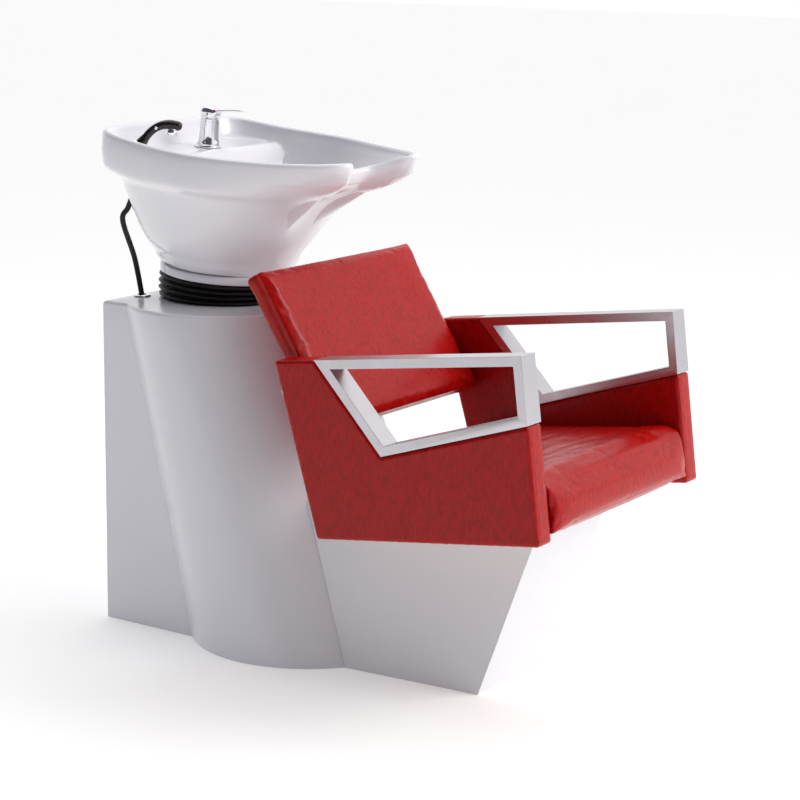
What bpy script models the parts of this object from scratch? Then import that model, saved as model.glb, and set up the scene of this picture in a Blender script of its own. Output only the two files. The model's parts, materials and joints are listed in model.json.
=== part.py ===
"""Salon shampoo backwash unit: a reclined armchair on a plinth, a pedestal and a tilting wash bowl.

Metres, +Z up. The sitter faces -Y. The origin lies on the floor, under the steel base plate.
The sitter's right is -X and the sitter's left is +X.
"""
import math

import bmesh
import bpy
from mathutils import Matrix, Vector

# ---------------------------------------------------------------- driving sizes
GAP = 0.0003                    # clearance between touching pieces
RUNNING = 0.0005                # radial clearance of a turning fit

# pedestal: an upright block merged with a column that leans to the rear
PEDESTAL_HEIGHT = 0.660
PEDESTAL_REAR = 0.440           # y of the flat rear face
BLOCK_HALF_WIDTH = 0.204
SHELL_WALL = 0.005
COLUMN_FLOOR = (0.050, 0.273, 0.250)    # centre y, half width, half depth at the floor
COLUMN_TOP = (0.260, 0.248, 0.210)      # the same at the pedestal's top
PEDESTAL_EDGE = 0.007           # rounding of the top edge

# plinth under the seat
PLINTH_FRONT = -0.430           # y of the front face at the floor
PLINTH_LEAN = 0.3125            # how far the front face leans forward per metre of height
PLINTH_HALF_WIDTH = 0.158
PLINTH_TAPER = 0.104            # half width lost per metre of height
PLINTH_FLARE = 0.070            # half width gained per metre towards the rear
PLINTH_WALL = 0.005
COLUMN_SEAM = 0.0020            # open joint between plinth and pedestal

# steel base
PLATE_THICK = 0.006
PLATE_HALF_WIDTH = 0.080
PLATE_FRONT = -0.390
PLATE_REAR = 0.380
POST_SIDE = 0.060
POST_WALL = 0.003
SEAT_POST_SIDE = 0.050
SEAT_POST_Y = -0.310

# chair, given in its own tilted frame: s runs forward and h runs up from the rear lower corner
CHAIR_Y = -0.163
CHAIR_Z = 0.2885
CHAIR_TILT = math.radians(7.7)
CHAIR_HALF_WIDTH = 0.305
PANEL_THICK = 0.047
PANEL_DEPTH = 0.479
PANEL_FRONT_HEIGHT = 0.214
ARM_HEIGHT = 0.336
NOTCH = (0.1645, 0.157)         # bottom of the V that holds the arm frame
ARM_REAR = 0.036
PANEL_REAR_TOP = -0.055
ARM_BAR = 0.018                 # thickness of the arm's flat bar
PAN_HEIGHT = 0.0205             # underside of the seat board above the panels' lower edge
PAN_THICK = 0.015
PAN_REAR = 0.012
PAN_FRONT = 0.452
SEAT_REAR = 0.010
SEAT_FRONT = 0.486
SEAT_TOP = 0.114
SEAT_APRON = 0.006
SEAT_ROUND = 0.022
FRAME_PLATE = 0.006             # steel plate under the seat board
FRAME_HALF_WIDTH = 0.090
FRAME_REAR = 0.040
FRAME_FRONT = 0.330

# backrest cushion
BACK_FOOT = (-0.172, 0.485)     # y and z of the lower front edge
BACK_RECLINE = math.radians(32.6)
BACK_LENGTH = 0.345
BACK_THICK = 0.045
BRACKET_THICK = 0.004

# bowl, given in its own frame: origin on the tilt axis, level when the bowl is level
TILT_Y = 0.282
TILT_Z = 0.690
BOWL_TILT = math.radians(4.2)
RIM_HEIGHT = 0.289
RIM_ROUND = 0.009
RIM_BOW = 0.087                 # rise of the rim per square metre of distance from its lowest line
RIM_FLICK = 1.3                 # the same for the fourth power of that distance
RIM_LOWEST_Y = -0.090
BOWL_WALL = 0.010
BOWL_FOOT_RADIUS = 0.130
BOWL_FOOT = 0.0346
NECK_DIP = 0.024                # how far the neck rest lies below the rim
DECK_DEPTH = 0.029              # how far the tap deck lies below the rim
DECK_FRONT_LOW = -0.045         # y where the slope up to the deck starts
DECK_SLOPE = 0.100              # length of that slope
SUMP_HEIGHT = 0.086
SUMP_Y = -0.050
SUMP_RADIUS = 0.034
DRAIN_RADIUS = 0.022
COLUMNS = 48                    # points around the bowl
COLLAR_RADIUS = 0.140
COLLAR_LOW = 0.018

# bellows between collar and pedestal
BELLOWS_INNER = 0.122
BELLOWS_OUTER = 0.143
BELLOWS_FOLDS = 4
BELLOWS_WALL = 0.003
BELLOWS_SIDES = 32

# tilt hinge
PIN_RADIUS = 0.006
LUG_X = 0.052
YOKE_X = 0.060
LUG_THICK = 0.006
LUG_RADIUS = 0.018
YOKE_BASE = 0.632

# mixer tap on the deck, in the bowl's frame
MIXER_X = 0.020
MIXER_Y = 0.087
MIXER_RADIUS = 0.0195
MIXER_BASE_RADIUS = 0.0275
MIXER_BODY_HEIGHT = 0.052
MIXER_SHANK = 0.014
LEVER_LENGTH = 0.088            # from the tap's axis to the tip of the blade
LEVER_HINGE = (0.0, 0.0175, 0.0040)     # above the body's top, at the cap's rear lower edge

# hand spray on the deck, in the bowl's frame
SPRAY_X = -0.148
SPRAY_Y = 0.134
SPRAY_LEAN = math.radians(34.0)
SPRAY_TURN = math.radians(38.0)     # plan direction of the lean, from -Y towards +X
SPRAY_HEAD = math.radians(104.0)    # angle of the head from the upright
SPRAY_RADIUS = 0.011
SPRAY_REACH = 0.124                 # length of the handle along its curve
HOLDER_RADIUS = 0.017
HOSE_RADIUS = 0.0055
HOSE_EXIT = Vector((-0.1359, 0.1582, 0.1406))  # where the hose leaves the bowl's rear skin
HOSE_SLOPE = Vector((-0.0054, 0.012, -0.035))   # a short step along the hose at that point

# hose grommet in the pedestal's top
GROMMET_X = -0.114
GROMMET_Y = 0.415
GROMMET_RADIUS = 0.018
GROMMET_NECK = 0.0130
GROMMET_BORE = 0.0100

# access door in the pedestal's rear face
DOOR_HALF_WIDTH = 0.130
DOOR_LOW = 0.130
DOOR_HIGH = 0.530
DOOR_GAP = 0.0020
DOOR_THICK = 0.005
HINGE_RADIUS = 0.0055
HINGE_LENGTH = 0.024
HINGE_PIN = 0.0025
HINGE_X = DOOR_HALF_WIDTH + 0.001
HINGE_Y = PEDESTAL_REAR + GAP + 0.001 + HINGE_RADIUS

# plumbing inside the pedestal
VALVE_X = 0.055
VALVE_Z = 0.360
VALVE_RADIUS = 0.012
BRACKET_PLATE = 0.003
UNION_Y = TILT_Y + POST_SIDE / 2 + GAP + BRACKET_PLATE + GAP + VALVE_RADIUS
FLEX_RADIUS = 0.006
FLEX_Y = 0.078                  # where the supply hoses pass the tilt plate, in the bowl's frame
WASTE_HOSE_RADIUS = 0.017
TRAP_RADIUS = 0.032
TRAP_LOW = 0.180
TRAP_HIGH = 0.290
OUTLET_RADIUS = 0.019
OUTLET_X = 0.125

BOLT_HEAD = 0.0065
BOLT_HEIGHT = 0.005


# ---------------------------------------------------------------- scene and materials
def clear_scene():
    for item in list(bpy.data.objects):
        bpy.data.objects.remove(item, do_unlink=True)


def material(name, colour, roughness, metallic=0.0):
    made = bpy.data.materials.get(name)
    if made:
        return made
    made = bpy.data.materials.new(name)
    made.use_nodes = True
    shader = made.node_tree.nodes["Principled BSDF"]
    shader.inputs["Base Color"].default_value = (*colour, 1.0)
    shader.inputs["Roughness"].default_value = roughness
    shader.inputs["Metallic"].default_value = metallic
    return made


FINISHES = {
    "white_gelcoat": ((0.86, 0.85, 0.88), 0.22, 0.0),
    "white_ceramic": ((0.88, 0.87, 0.90), 0.12, 0.0),
    "red_vinyl": ((0.62, 0.012, 0.010), 0.35, 0.0),
    "satin_steel": ((0.72, 0.71, 0.73), 0.30, 1.0),
    "chrome": ((0.85, 0.85, 0.87), 0.06, 1.0),
    "black_rubber": ((0.018, 0.014, 0.016), 0.55, 0.0),
    "black_plastic": ((0.020, 0.014, 0.014), 0.30, 0.0),
    "painted_steel": ((0.10, 0.10, 0.11), 0.45, 0.6),
    "zinc_steel": ((0.60, 0.60, 0.60), 0.38, 1.0),
    "brass": ((0.75, 0.55, 0.25), 0.30, 1.0),
    "plywood": ((0.55, 0.38, 0.22), 0.65, 0.0),
    "white_plastic": ((0.80, 0.80, 0.80), 0.40, 0.0),
    "red_mark": ((0.70, 0.02, 0.02), 0.30, 0.0),
    "blue_mark": ((0.02, 0.08, 0.60), 0.35, 0.0),
}


def finish(name):
    return material(name, *FINISHES[name])


# ---------------------------------------------------------------- modelling helpers
def add_object(name, mesh, finish_name, parent=None):
    made = bpy.data.objects.new(name, mesh)
    bpy.context.scene.collection.objects.link(made)
    made.data.materials.append(finish(finish_name))
    made.parent = parent
    return made


def mesh_from(bm, name, smooth=False):
    bmesh.ops.remove_doubles(bm, verts=bm.verts, dist=0.00001)
    bmesh.ops.recalc_face_normals(bm, faces=bm.faces)
    mesh = bpy.data.meshes.new(name)
    bm.to_mesh(mesh)
    bm.free()
    if smooth:
        mesh.shade_smooth()
        mesh.set_sharp_from_angle(angle=math.radians(35))
    return mesh


def bridge_rings(bm, rings, closed):
    """Join each ring of points to the next with quads; closed joins the last ring to the first."""
    made = [[bm.verts.new(point) for point in ring] for ring in rings]
    pairs = list(zip(made, made[1:]))
    if closed:
        pairs.append((made[-1], made[0]))
    for lower, upper in pairs:
        count = len(lower)
        for i in range(count):
            j = (i + 1) % count
            bm.faces.new((lower[i], lower[j], upper[j], upper[i]))
    return made


def ring_body(name, rings, finish_name, parent=None, smooth=True):
    """A closed body with a hole through it, such as a shell or a tube."""
    bm = bmesh.new()
    bridge_rings(bm, rings, closed=True)
    return add_object(name, mesh_from(bm, name, smooth), finish_name, parent)


def capped_mesh(name, rings, smooth=True):
    """A closed body whose first and last rings are filled."""
    bm = bmesh.new()
    made = bridge_rings(bm, rings, closed=False)
    bm.faces.new(made[0])
    bm.faces.new(made[-1])
    return mesh_from(bm, name, smooth)


def capped_body(name, rings, finish_name, parent=None, smooth=True):
    return add_object(name, capped_mesh(name, rings, smooth), finish_name, parent)


def circle(radius, height, count, centre=(0.0, 0.0)):
    turn = math.tau / count
    return [Vector((centre[0] + radius * math.sin(turn * i), centre[1] + radius * math.cos(turn * i),
                    height))
            for i in range(count)]


def turned_ring(name, profile, finish_name, parent=None, centre=(0.0, 0.0), count=24):
    """A body turned about Z from a closed profile of (radius, height) that stays off the axis."""
    return ring_body(name, [circle(r, z, count, centre) for r, z in profile], finish_name, parent)


def turned_body(name, profile, finish_name, parent=None, centre=(0.0, 0.0), count=24):
    """A body turned about Z from an open profile of (radius, height), flat at both ends."""
    return capped_body(name, [circle(r, z, count, centre) for r, z in profile], finish_name, parent)


def prism(name, outline, low, high, place, finish_name, parent=None):
    """Extrude an outline of (a, b) from low to high; place(a, b, c) gives the point."""
    rings = [[place(a, b, c) for a, b in outline] for c in (low, high)]
    return capped_body(name, rings, finish_name, parent, smooth=False)


def box(name, low, high, finish_name, parent=None):
    outline = ((low[0], low[1]), (high[0], low[1]), (high[0], high[1]), (low[0], high[1]))
    return prism(name, outline, low[2], high[2], lambda a, b, c: Vector((a, b, c)), finish_name, parent)


def round_corner(corner, before, after, radius, steps=4):
    """Points of an arc that rounds an outline's corner."""
    corner, before, after = Vector(corner), Vector(before), Vector(after)
    to_before = (before - corner).normalized()
    to_after = (after - corner).normalized()
    half = to_before.angle(to_after) / 2.0
    centre = corner + (to_before + to_after).normalized() * (radius / math.sin(half))
    start = corner + to_before * (radius / math.tan(half)) - centre
    end = corner + to_after * (radius / math.tan(half)) - centre
    sweep = start.angle_signed(end)
    points = []
    for k in range(steps + 1):
        turned = start.copy()
        turned.rotate(Matrix.Rotation(-sweep * k / steps, 2))
        points.append(tuple(centre + turned))
    return points


def cut(target, cutter):
    """Take the cutter's shape out of the target."""
    cutter.hide_render = True
    cutter.display_type = "WIRE"
    step = target.modifiers.new("cut_" + cutter.name, "BOOLEAN")
    step.operation = "DIFFERENCE"
    step.object = cutter


def add(target, piece):
    """Weld another shape to the target."""
    cut(target, piece)
    target.modifiers[-1].operation = "UNION"


def soften(target, width, segments=2):
    """Round the sharp edges of a piece."""
    step = target.modifiers.new("soft_edges", "BEVEL")
    step.width = width
    step.segments = segments
    step.limit_method = "ANGLE"
    step.angle_limit = math.radians(35)


def cylinder_between(name, start, end, radius, finish_name, parent=None, count=20):
    start, end = Vector(start), Vector(end)
    turn = Vector((0, 0, 1)).rotation_difference(end - start)
    length = (end - start).length
    rings = [[turn @ point + start for point in circle(radius, z, count)] for z in (0.0, length)]
    return capped_body(name, rings, finish_name, parent)


def smooth_route(points, count):
    """Evenly spread points on a smooth curve through the given ones."""
    points = [Vector(p) for p in points]
    ends = [points[0] * 2 - points[1]] + points + [points[-1] * 2 - points[-2]]
    fine = []
    for i in range(len(points) - 1):
        a, b, c, d = ends[i:i + 4]
        for k in range(24):
            t = k / 24
            fine.append(0.5 * (2 * b + (c - a) * t + (2 * a - 5 * b + 4 * c - d) * t ** 2
                               + (3 * b - a - 3 * c + d) * t ** 3))
    fine.append(points[-1])
    reach = [0.0]
    for a, b in zip(fine, fine[1:]):
        reach.append(reach[-1] + (b - a).length)
    spread = []
    at = 0
    for k in range(count):
        want = reach[-1] * k / (count - 1)
        while at < len(fine) - 2 and reach[at + 1] < want:
            at += 1
        share = (want - reach[at]) / (reach[at + 1] - reach[at])
        spread.append(fine[at].lerp(fine[at + 1], min(1.0, share)))
    return spread


def hose(name, points, radius, count, finish_name, resolution=2):
    """A flexible tube along a smooth route."""
    curve = bpy.data.curves.new(name, "CURVE")
    curve.dimensions = "3D"
    curve.bevel_depth = radius
    curve.bevel_resolution = resolution
    curve.use_fill_caps = True
    route = smooth_route(points, count)
    spline = curve.splines.new("POLY")
    spline.points.add(count - 1)
    for slot, point in zip(spline.points, route):
        slot.co = (*point, 1.0)
    made = bpy.data.objects.new(name, curve)
    bpy.context.scene.collection.objects.link(made)
    made.data.materials.append(finish(finish_name))
    return made


def pivot(name, location, parent=None, rotation=(0.0, 0.0, 0.0)):
    """An empty that stands on a joint's axis."""
    made = bpy.data.objects.new(name, None)
    bpy.context.scene.collection.objects.link(made)
    made.location = location
    made.rotation_euler = rotation
    made.parent = parent
    return made


# ---------------------------------------------------------------- pedestal
def column_at(height):
    """Centre y, half width and half depth of the leaning column at a height."""
    share = height / PEDESTAL_HEIGHT
    return tuple(a + (b - a) * share for a, b in zip(COLUMN_FLOOR, COLUMN_TOP))


def pedestal_outline(height, inset):
    """Plan of the pedestal: flat rear, flat sides and the column's front, drawn in by inset."""
    centre, half_width, half_depth = column_at(height)
    half_width -= inset
    half_depth -= inset
    side = BLOCK_HALF_WIDTH - inset
    rear = PEDESTAL_REAR - inset
    start = math.acos(side / half_width)
    half = [Vector((side * k / 3.0, rear, height)) for k in range(4)]
    meet = centre + half_depth * math.sin(start)
    half += [Vector((side, rear + (meet - rear) * k / 3.0, height)) for k in (1, 2)]
    steps = 14
    for k in range(steps + 1):
        angle = start - (start + math.pi / 2) * k / steps
        half.append(Vector((half_width * math.cos(angle), centre + half_depth * math.sin(angle), height)))
    mirrored = [Vector((-p.x, p.y, p.z)) for p in reversed(half[1:-1])]
    return half + mirrored


def towards_circle(outline, radius, height):
    """One point of a circle round the bowl's axis for each point of an outline."""
    points = []
    for point in outline:
        flat = Vector((point.x, point.y - TILT_Y)).normalized() * radius
        points.append(Vector((flat.x, flat.y + TILT_Y, height)))
    return points


def build_pedestal():
    top = PEDESTAL_HEIGHT
    outer = [pedestal_outline(top * k / 3.0, 0.0) for k in range(3)]
    outer.append(pedestal_outline(top - PEDESTAL_EDGE, 0.0))
    for angle in (30, 60, 90):
        turn = math.radians(angle)
        lift = top - PEDESTAL_EDGE * (1 - math.sin(turn))
        ring = pedestal_outline(lift, PEDESTAL_EDGE * (1 - math.cos(turn)))
        outer.append(ring)
    hole = BELLOWS_INNER - 0.012
    under = top - SHELL_WALL
    inner_top = pedestal_outline(under, SHELL_WALL + PEDESTAL_EDGE / 2)
    inner = [pedestal_outline(top * k / 3.0, SHELL_WALL) for k in range(2, -1, -1)]
    rings = outer + [towards_circle(outer[-1], hole, top), towards_circle(inner_top, hole, under),
                     inner_top]
    shell = ring_body("pedestal_shell", rings + inner, "white_gelcoat")
    door = box("door_opening_cutter", (-DOOR_HALF_WIDTH, PEDESTAL_REAR - 0.02, DOOR_LOW),
               (DOOR_HALF_WIDTH, PEDESTAL_REAR + 0.02, DOOR_HIGH), "white_gelcoat")
    cut(shell, door)
    grommet_hole = cylinder_between("grommet_cutter", (GROMMET_X, GROMMET_Y, under - 0.01),
                                    (GROMMET_X, GROMMET_Y, top + 0.01), GROMMET_NECK + GAP,
                                    "white_gelcoat")
    cut(shell, grommet_hole)
    front = COLUMN_FLOOR[0] - COLUMN_FLOOR[2]
    notch = box("plate_notch_cutter", (-PLATE_HALF_WIDTH - GAP, front - 0.05, -0.01),
                (PLATE_HALF_WIDTH + GAP, front + 0.08, PLATE_THICK + GAP), "white_gelcoat")
    cut(shell, notch)


def build_base():
    plate = box("base_plate", (-PLATE_HALF_WIDTH, PLATE_FRONT, 0.0),
                (PLATE_HALF_WIDTH, PLATE_REAR, PLATE_THICK), "painted_steel")
    for i, (x, y) in enumerate(((-0.062, -0.37), (0.062, -0.37), (-0.062, 0.16), (0.062, 0.16))):
        cut(plate, cylinder_between(f"anchor_cutter_{i}", (x, y, -0.01), (x, y, 0.02), 0.006,
                                    "painted_steel", count=12))
    box_tube("bowl_post", POST_SIDE, POST_WALL, TILT_Y, PLATE_THICK + GAP, lambda y: YOKE_BASE - GAP)
    box_tube("seat_post", SEAT_POST_SIDE, POST_WALL, SEAT_POST_Y, PLATE_THICK + GAP,
             lambda y: chair_height_at(y, PAN_HEIGHT - FRAME_PLATE - 2 * GAP))


def box_tube(name, side, wall, y_centre, low, top_at):
    """An upright square tube whose top follows top_at(y)."""
    def ring(half, top):
        corners = ((half, half), (half, -half), (-half, -half), (-half, half))
        points = [Vector((x, y_centre + y, 0.0)) for x, y in corners]
        for point in points:
            point.z = top_at(point.y) if top else low
        return points
    rings = [ring(side / 2, False), ring(side / 2, True), ring(side / 2 - wall, True),
             ring(side / 2 - wall, False)]
    return ring_body(name, rings, "painted_steel", smooth=False)


# ---------------------------------------------------------------- chair frame of reference
def chair_point(s, h, x):
    """World point of the chair's own coordinates."""
    return Vector((x, CHAIR_Y - s * math.cos(CHAIR_TILT) + h * math.sin(CHAIR_TILT),
                   CHAIR_Z + s * math.sin(CHAIR_TILT) + h * math.cos(CHAIR_TILT)))


def chair_height_at(y, h):
    """World height of the chair plane h at a world y."""
    return CHAIR_Z + h / math.cos(CHAIR_TILT) + (CHAIR_Y - y) * math.tan(CHAIR_TILT)


# ---------------------------------------------------------------- plinth
def plinth_solid(name, inset, low):
    """The plinth's body, drawn in by inset on every side but the rear; low is its lower end."""
    sheet = PAN_HEIGHT - GAP - inset
    ridge = chair_height_at(CHAIR_Y, sheet)
    rear = COLUMN_FLOOR[0]
    lean = PLINTH_LEAN
    bend = ridge + (CHAIR_Y - PLINTH_FRONT - inset) * math.tan(CHAIR_TILT)
    front_top = bend / (1.0 - lean * math.tan(CHAIR_TILT))
    corners = ((PLINTH_FRONT + inset - lean * low, low),
               (PLINTH_FRONT + inset - lean * front_top, front_top),
               (CHAIR_Y, ridge), (rear, ridge), (rear, low))
    rings = []
    for sign in (-1.0, 1.0):
        ring = []
        for y, z in corners:
            front = PLINTH_FRONT - lean * z
            half = PLINTH_HALF_WIDTH - PLINTH_TAPER * z + PLINTH_FLARE * (y - front) - inset
            ring.append(Vector((sign * half, y, z)))
        rings.append(ring)
    return capped_body(name, rings, "white_gelcoat", smooth=False)


def column_solid(name, grow):
    rings = []
    steps = 40
    for height in (-0.02, PEDESTAL_HEIGHT * 0.75):
        centre, half_width, half_depth = column_at(height)
        rings.append([Vector(((half_width + grow) * math.sin(math.tau * k / steps),
                              centre + (half_depth + grow) * math.cos(math.tau * k / steps), height))
                      for k in range(steps)])
    return capped_body(name, rings, "white_gelcoat")


def build_plinth():
    shell = plinth_solid("plinth_shell", 0.0, 0.0)
    cut(shell, plinth_solid("plinth_hollow_cutter", PLINTH_WALL, -0.02))
    cut(shell, column_solid("column_cutter", COLUMN_SEAM))
    opening = prism("frame_opening_cutter",
                    ((FRAME_REAR - 0.002, -0.03), (FRAME_FRONT + 0.002, -0.03),
                     (FRAME_FRONT + 0.002, 0.05), (FRAME_REAR - 0.002, 0.05)),
                    -FRAME_HALF_WIDTH - 0.002, FRAME_HALF_WIDTH + 0.002, chair_point, "white_gelcoat")
    cut(shell, opening)
    shell.modifiers.new("triangles", "TRIANGULATE")


# ---------------------------------------------------------------- chair
def panel_outline():
    return ((0.0, 0.0), (PANEL_DEPTH, 0.0), (PANEL_DEPTH, PANEL_FRONT_HEIGHT), NOTCH,
            (ARM_REAR, ARM_HEIGHT), (PANEL_REAR_TOP, ARM_HEIGHT))


def inset_loop(outline, distance):
    """Draw a closed loop of points inwards by a distance; the loop runs clockwise in s, h."""
    points = [Vector(p) for p in outline]
    area = sum(a.x * b.y - b.x * a.y for a, b in zip(points, points[1:] + points[:1]))
    turn = 1.0 if area > 0 else -1.0
    drawn = []
    count = len(points)
    for i in range(count):
        before, here, after = points[i - 1], points[i], points[(i + 1) % count]
        d1 = (here - before).normalized()
        d2 = (after - here).normalized()
        n1 = Vector((-d1.y, d1.x)) * turn
        n2 = Vector((-d2.y, d2.x)) * turn
        middle = (n1 + n2).normalized()
        drawn.append(here + middle * (distance / middle.dot(n1)))
    return [tuple(p) for p in drawn]


def build_side(side_name, sign):
    inner = sign * (CHAIR_HALF_WIDTH - PANEL_THICK)
    outer = sign * CHAIR_HALF_WIDTH
    low, high = min(inner, outer), max(inner, outer)
    prism(side_name + "_side_panel", panel_outline(), low, high, chair_point, "red_vinyl")
    loop = ((ARM_REAR, ARM_HEIGHT), (PANEL_DEPTH, ARM_HEIGHT), (PANEL_DEPTH, PANEL_FRONT_HEIGHT), NOTCH)
    outside = inset_loop(loop, GAP)
    inside = inset_loop(loop, ARM_BAR)
    rings = [[chair_point(s, h, x) for s, h in points]
             for points, x in ((outside, low), (outside, high), (inside, high), (inside, low))]
    ring_body(side_name + "_arm_frame", rings, "satin_steel", smooth=False)
    build_back_bracket(side_name, sign)


def back_point(along, behind, x):
    """World point on the backrest: along its length from the foot, and behind its front face."""
    up = Vector((0.0, math.sin(BACK_RECLINE), math.cos(BACK_RECLINE)))
    rear = Vector((0.0, math.cos(BACK_RECLINE), -math.sin(BACK_RECLINE)))
    return Vector((x, *BACK_FOOT)) + up * along + rear * behind


def build_back_bracket(side_name, sign):
    """An angle that joins the backrest's rear face to the side panel's inner face."""
    wall = CHAIR_HALF_WIDTH - PANEL_THICK - GAP
    behind = BACK_THICK + GAP
    outline = ((wall, behind), (wall, behind + 0.028), (wall - BRACKET_THICK, behind + 0.028),
               (wall - BRACKET_THICK, behind + BRACKET_THICK), (wall - 0.040, behind + BRACKET_THICK),
               (wall - 0.040, behind))
    prism(side_name + "_back_bracket", outline, 0.045, 0.120,
          lambda x, b, a: back_point(a, b, sign * x), "zinc_steel")


def build_chair():
    for side_name, sign in (("right", -1.0), ("left", 1.0)):
        build_side(side_name, sign)
    half = CHAIR_HALF_WIDTH - PANEL_THICK - GAP
    pan = ((PAN_REAR, PAN_HEIGHT), (PAN_FRONT, PAN_HEIGHT), (PAN_FRONT, PAN_HEIGHT + PAN_THICK),
           (PAN_REAR, PAN_HEIGHT + PAN_THICK))
    prism("seat_board", pan, -half, half, chair_point, "plywood")
    top_of_board = PAN_HEIGHT + PAN_THICK + GAP
    front_corner = round_corner((SEAT_FRONT, SEAT_TOP), (SEAT_FRONT, SEAT_APRON), (SEAT_REAR, SEAT_TOP),
                                SEAT_ROUND)
    rear_corner = round_corner((SEAT_REAR, SEAT_TOP), (SEAT_FRONT, SEAT_TOP), (SEAT_REAR, top_of_board),
                               SEAT_ROUND)
    seat = [(SEAT_REAR, top_of_board), (PAN_FRONT + GAP, top_of_board), (PAN_FRONT + GAP, SEAT_APRON),
            (SEAT_FRONT, SEAT_APRON)] + front_corner + rear_corner
    prism("seat_cushion", seat, -half, half, chair_point, "red_vinyl")
    back = prism("backrest_cushion", ((0.0, 0.0), (BACK_LENGTH, 0.0), (BACK_LENGTH, BACK_THICK),
                                      (0.0, BACK_THICK)),
                 -half, half, back_point, "red_vinyl")
    soften(back, 0.008, 3)
    frame = ((FRAME_REAR, PAN_HEIGHT - FRAME_PLATE - GAP), (FRAME_FRONT, PAN_HEIGHT - FRAME_PLATE - GAP),
             (FRAME_FRONT, PAN_HEIGHT - GAP), (FRAME_REAR, PAN_HEIGHT - GAP))
    prism("seat_frame_plate", frame, -FRAME_HALF_WIDTH, FRAME_HALF_WIDTH, chair_point, "painted_steel")
    build_seat_bolts()


def build_seat_bolts():
    """Four hexagon heads under the seat plate."""
    top = PAN_HEIGHT - FRAME_PLATE - 2 * GAP
    number = 1
    for s in (FRAME_REAR + 0.020, FRAME_FRONT - 0.020):
        for x in (-FRAME_HALF_WIDTH + 0.015, FRAME_HALF_WIDTH - 0.015):
            hexagon = [(s + BOLT_HEAD * math.cos(math.tau * k / 6),
                        x + BOLT_HEAD * math.sin(math.tau * k / 6))
                       for k in range(6)]
            prism(f"seat_bolt_{number}", hexagon, top - BOLT_HEIGHT, top,
                  lambda a, b, c: chair_point(a, c, b), "zinc_steel")
            number += 1


# ---------------------------------------------------------------- bowl
# Half plan of the rim from the rear centre to the neck:
# x, y, share of the front's shaping, share of the neck dip.
RIM_PLAN = (
    (0.000, 0.194, 0.00, 0.00), (0.062, 0.1935, 0.00, 0.00), (0.122, 0.192, 0.00, 0.00),
    (0.176, 0.187, 0.00, 0.00),
    (0.211, 0.168, 0.00, 0.00), (0.228, 0.128, 0.00, 0.00), (0.240, 0.060, 0.00, 0.00),
    (0.253, -0.015, 0.00, 0.00),
    (0.254, -0.085, 0.02, 0.00), (0.241, -0.145, 0.12, 0.00), (0.220, -0.205, 0.33, 0.00),
    (0.196, -0.263, 0.60, 0.00),
    (0.168, -0.315, 0.86, 0.00), (0.142, -0.347, 0.96, 0.00), (0.113, -0.360, 1.00, 0.05),
    (0.089, -0.350, 1.00, 0.22),
    (0.066, -0.326, 1.00, 0.60), (0.038, -0.302, 1.00, 0.90), (0.000, -0.297, 1.00, 1.00),
)
# Outer levels: height, how far the rear and sides have closed to the foot's circle,
# and how far the front has.
OUTER_LEVELS = (
    (0.0346, 1.00, 1.00), (0.045, 0.89, 1.00), (0.062, 0.75, 0.985), (0.085, 0.58, 0.945),
    (0.110, 0.45, 0.875),
    (0.137, 0.34, 0.78), (0.165, 0.235, 0.665), (0.190, 0.140, 0.53), (0.212, 0.060, 0.37),
    (0.232, 0.020, 0.19),
    (0.252, 0.000, 0.050),
)
# Inner levels: share of the way from the sump (0) to the inner rim (1).
INNER_SHARES = (0.955, 0.90, 0.82, 0.72, 0.60, 0.48, 0.36, 0.26)


def closed_spline(stations, count):
    """Points on a smooth closed curve through mirrored half-plan stations, with their two shares."""
    half = [Vector((x, y, a, b)) for x, y, a, b in stations]
    mirrored = [Vector((-p[0], p[1], p[2], p[3])) for p in reversed(half[1:-1])]
    loop = half + mirrored
    total = len(loop)
    points = []
    for k in range(count):
        at = k * total / count
        i = int(at)
        t = at - i
        a, b, c, d = (loop[(i + j - 1) % total] for j in range(4))
        points.append(0.5 * (2 * b + (c - a) * t + (2 * a - 5 * b + 4 * c - d) * t ** 2
                             + (3 * b - a - 3 * c + d) * t ** 3))
    return points


def smooth_step(value):
    value = max(0.0, min(1.0, value))
    return value * value * (3.0 - 2.0 * value)


def foot_point(plan):
    """The point of the foot's circle that belongs to a rim point."""
    direction = Vector((plan[0], plan[1] - SUMP_Y * 0.5)).normalized()
    return direction * BOWL_FOOT_RADIUS


def outer_point(plan, level, inset=0.0):
    height, close_side, close_front = level
    front = smooth_step(plan[2])
    close = close_side + (close_front - close_side) * front
    foot = foot_point(plan)
    flat = Vector((plan[0], plan[1])) * (1.0 - close) + foot * close
    flat -= flat.normalized() * inset
    dip = NECK_DIP * plan[3] * max(0.0, height - 0.2) / (RIM_HEIGHT - 0.2)
    lift = rim_bow(flat.y) * max(0.0, height - 0.15) / (RIM_HEIGHT - 0.15)
    return Vector((flat.x, flat.y, height - dip + lift))


def rim_bow(y):
    """The rim bows upwards towards its rear and its tips."""
    away = y - RIM_LOWEST_Y
    return RIM_BOW * away ** 2 + RIM_FLICK * away ** 4


def rim_point(plan, inset, drop):
    """A point near the rim, drawn in towards the bowl's middle and lowered."""
    flat = Vector((plan[0], plan[1]))
    inward = plan_inward(plan)
    flat += inward * inset
    return Vector((flat.x, flat.y, RIM_HEIGHT - drop - NECK_DIP * plan[3] + rim_bow(flat.y)))


def plan_inward(plan):
    """Direction from a rim point into the bowl."""
    side = max(-1.0, min(1.0, plan[0] / 0.14))
    at_neck = Vector((-side * 0.75, 1.0)).normalized()
    elsewhere = (Vector((0.0, SUMP_Y)) - Vector((plan[0] * 0.9, plan[1]))).normalized()
    return elsewhere.lerp(at_neck, smooth_step((plan[2] - 0.55) / 0.35)).normalized()


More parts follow.
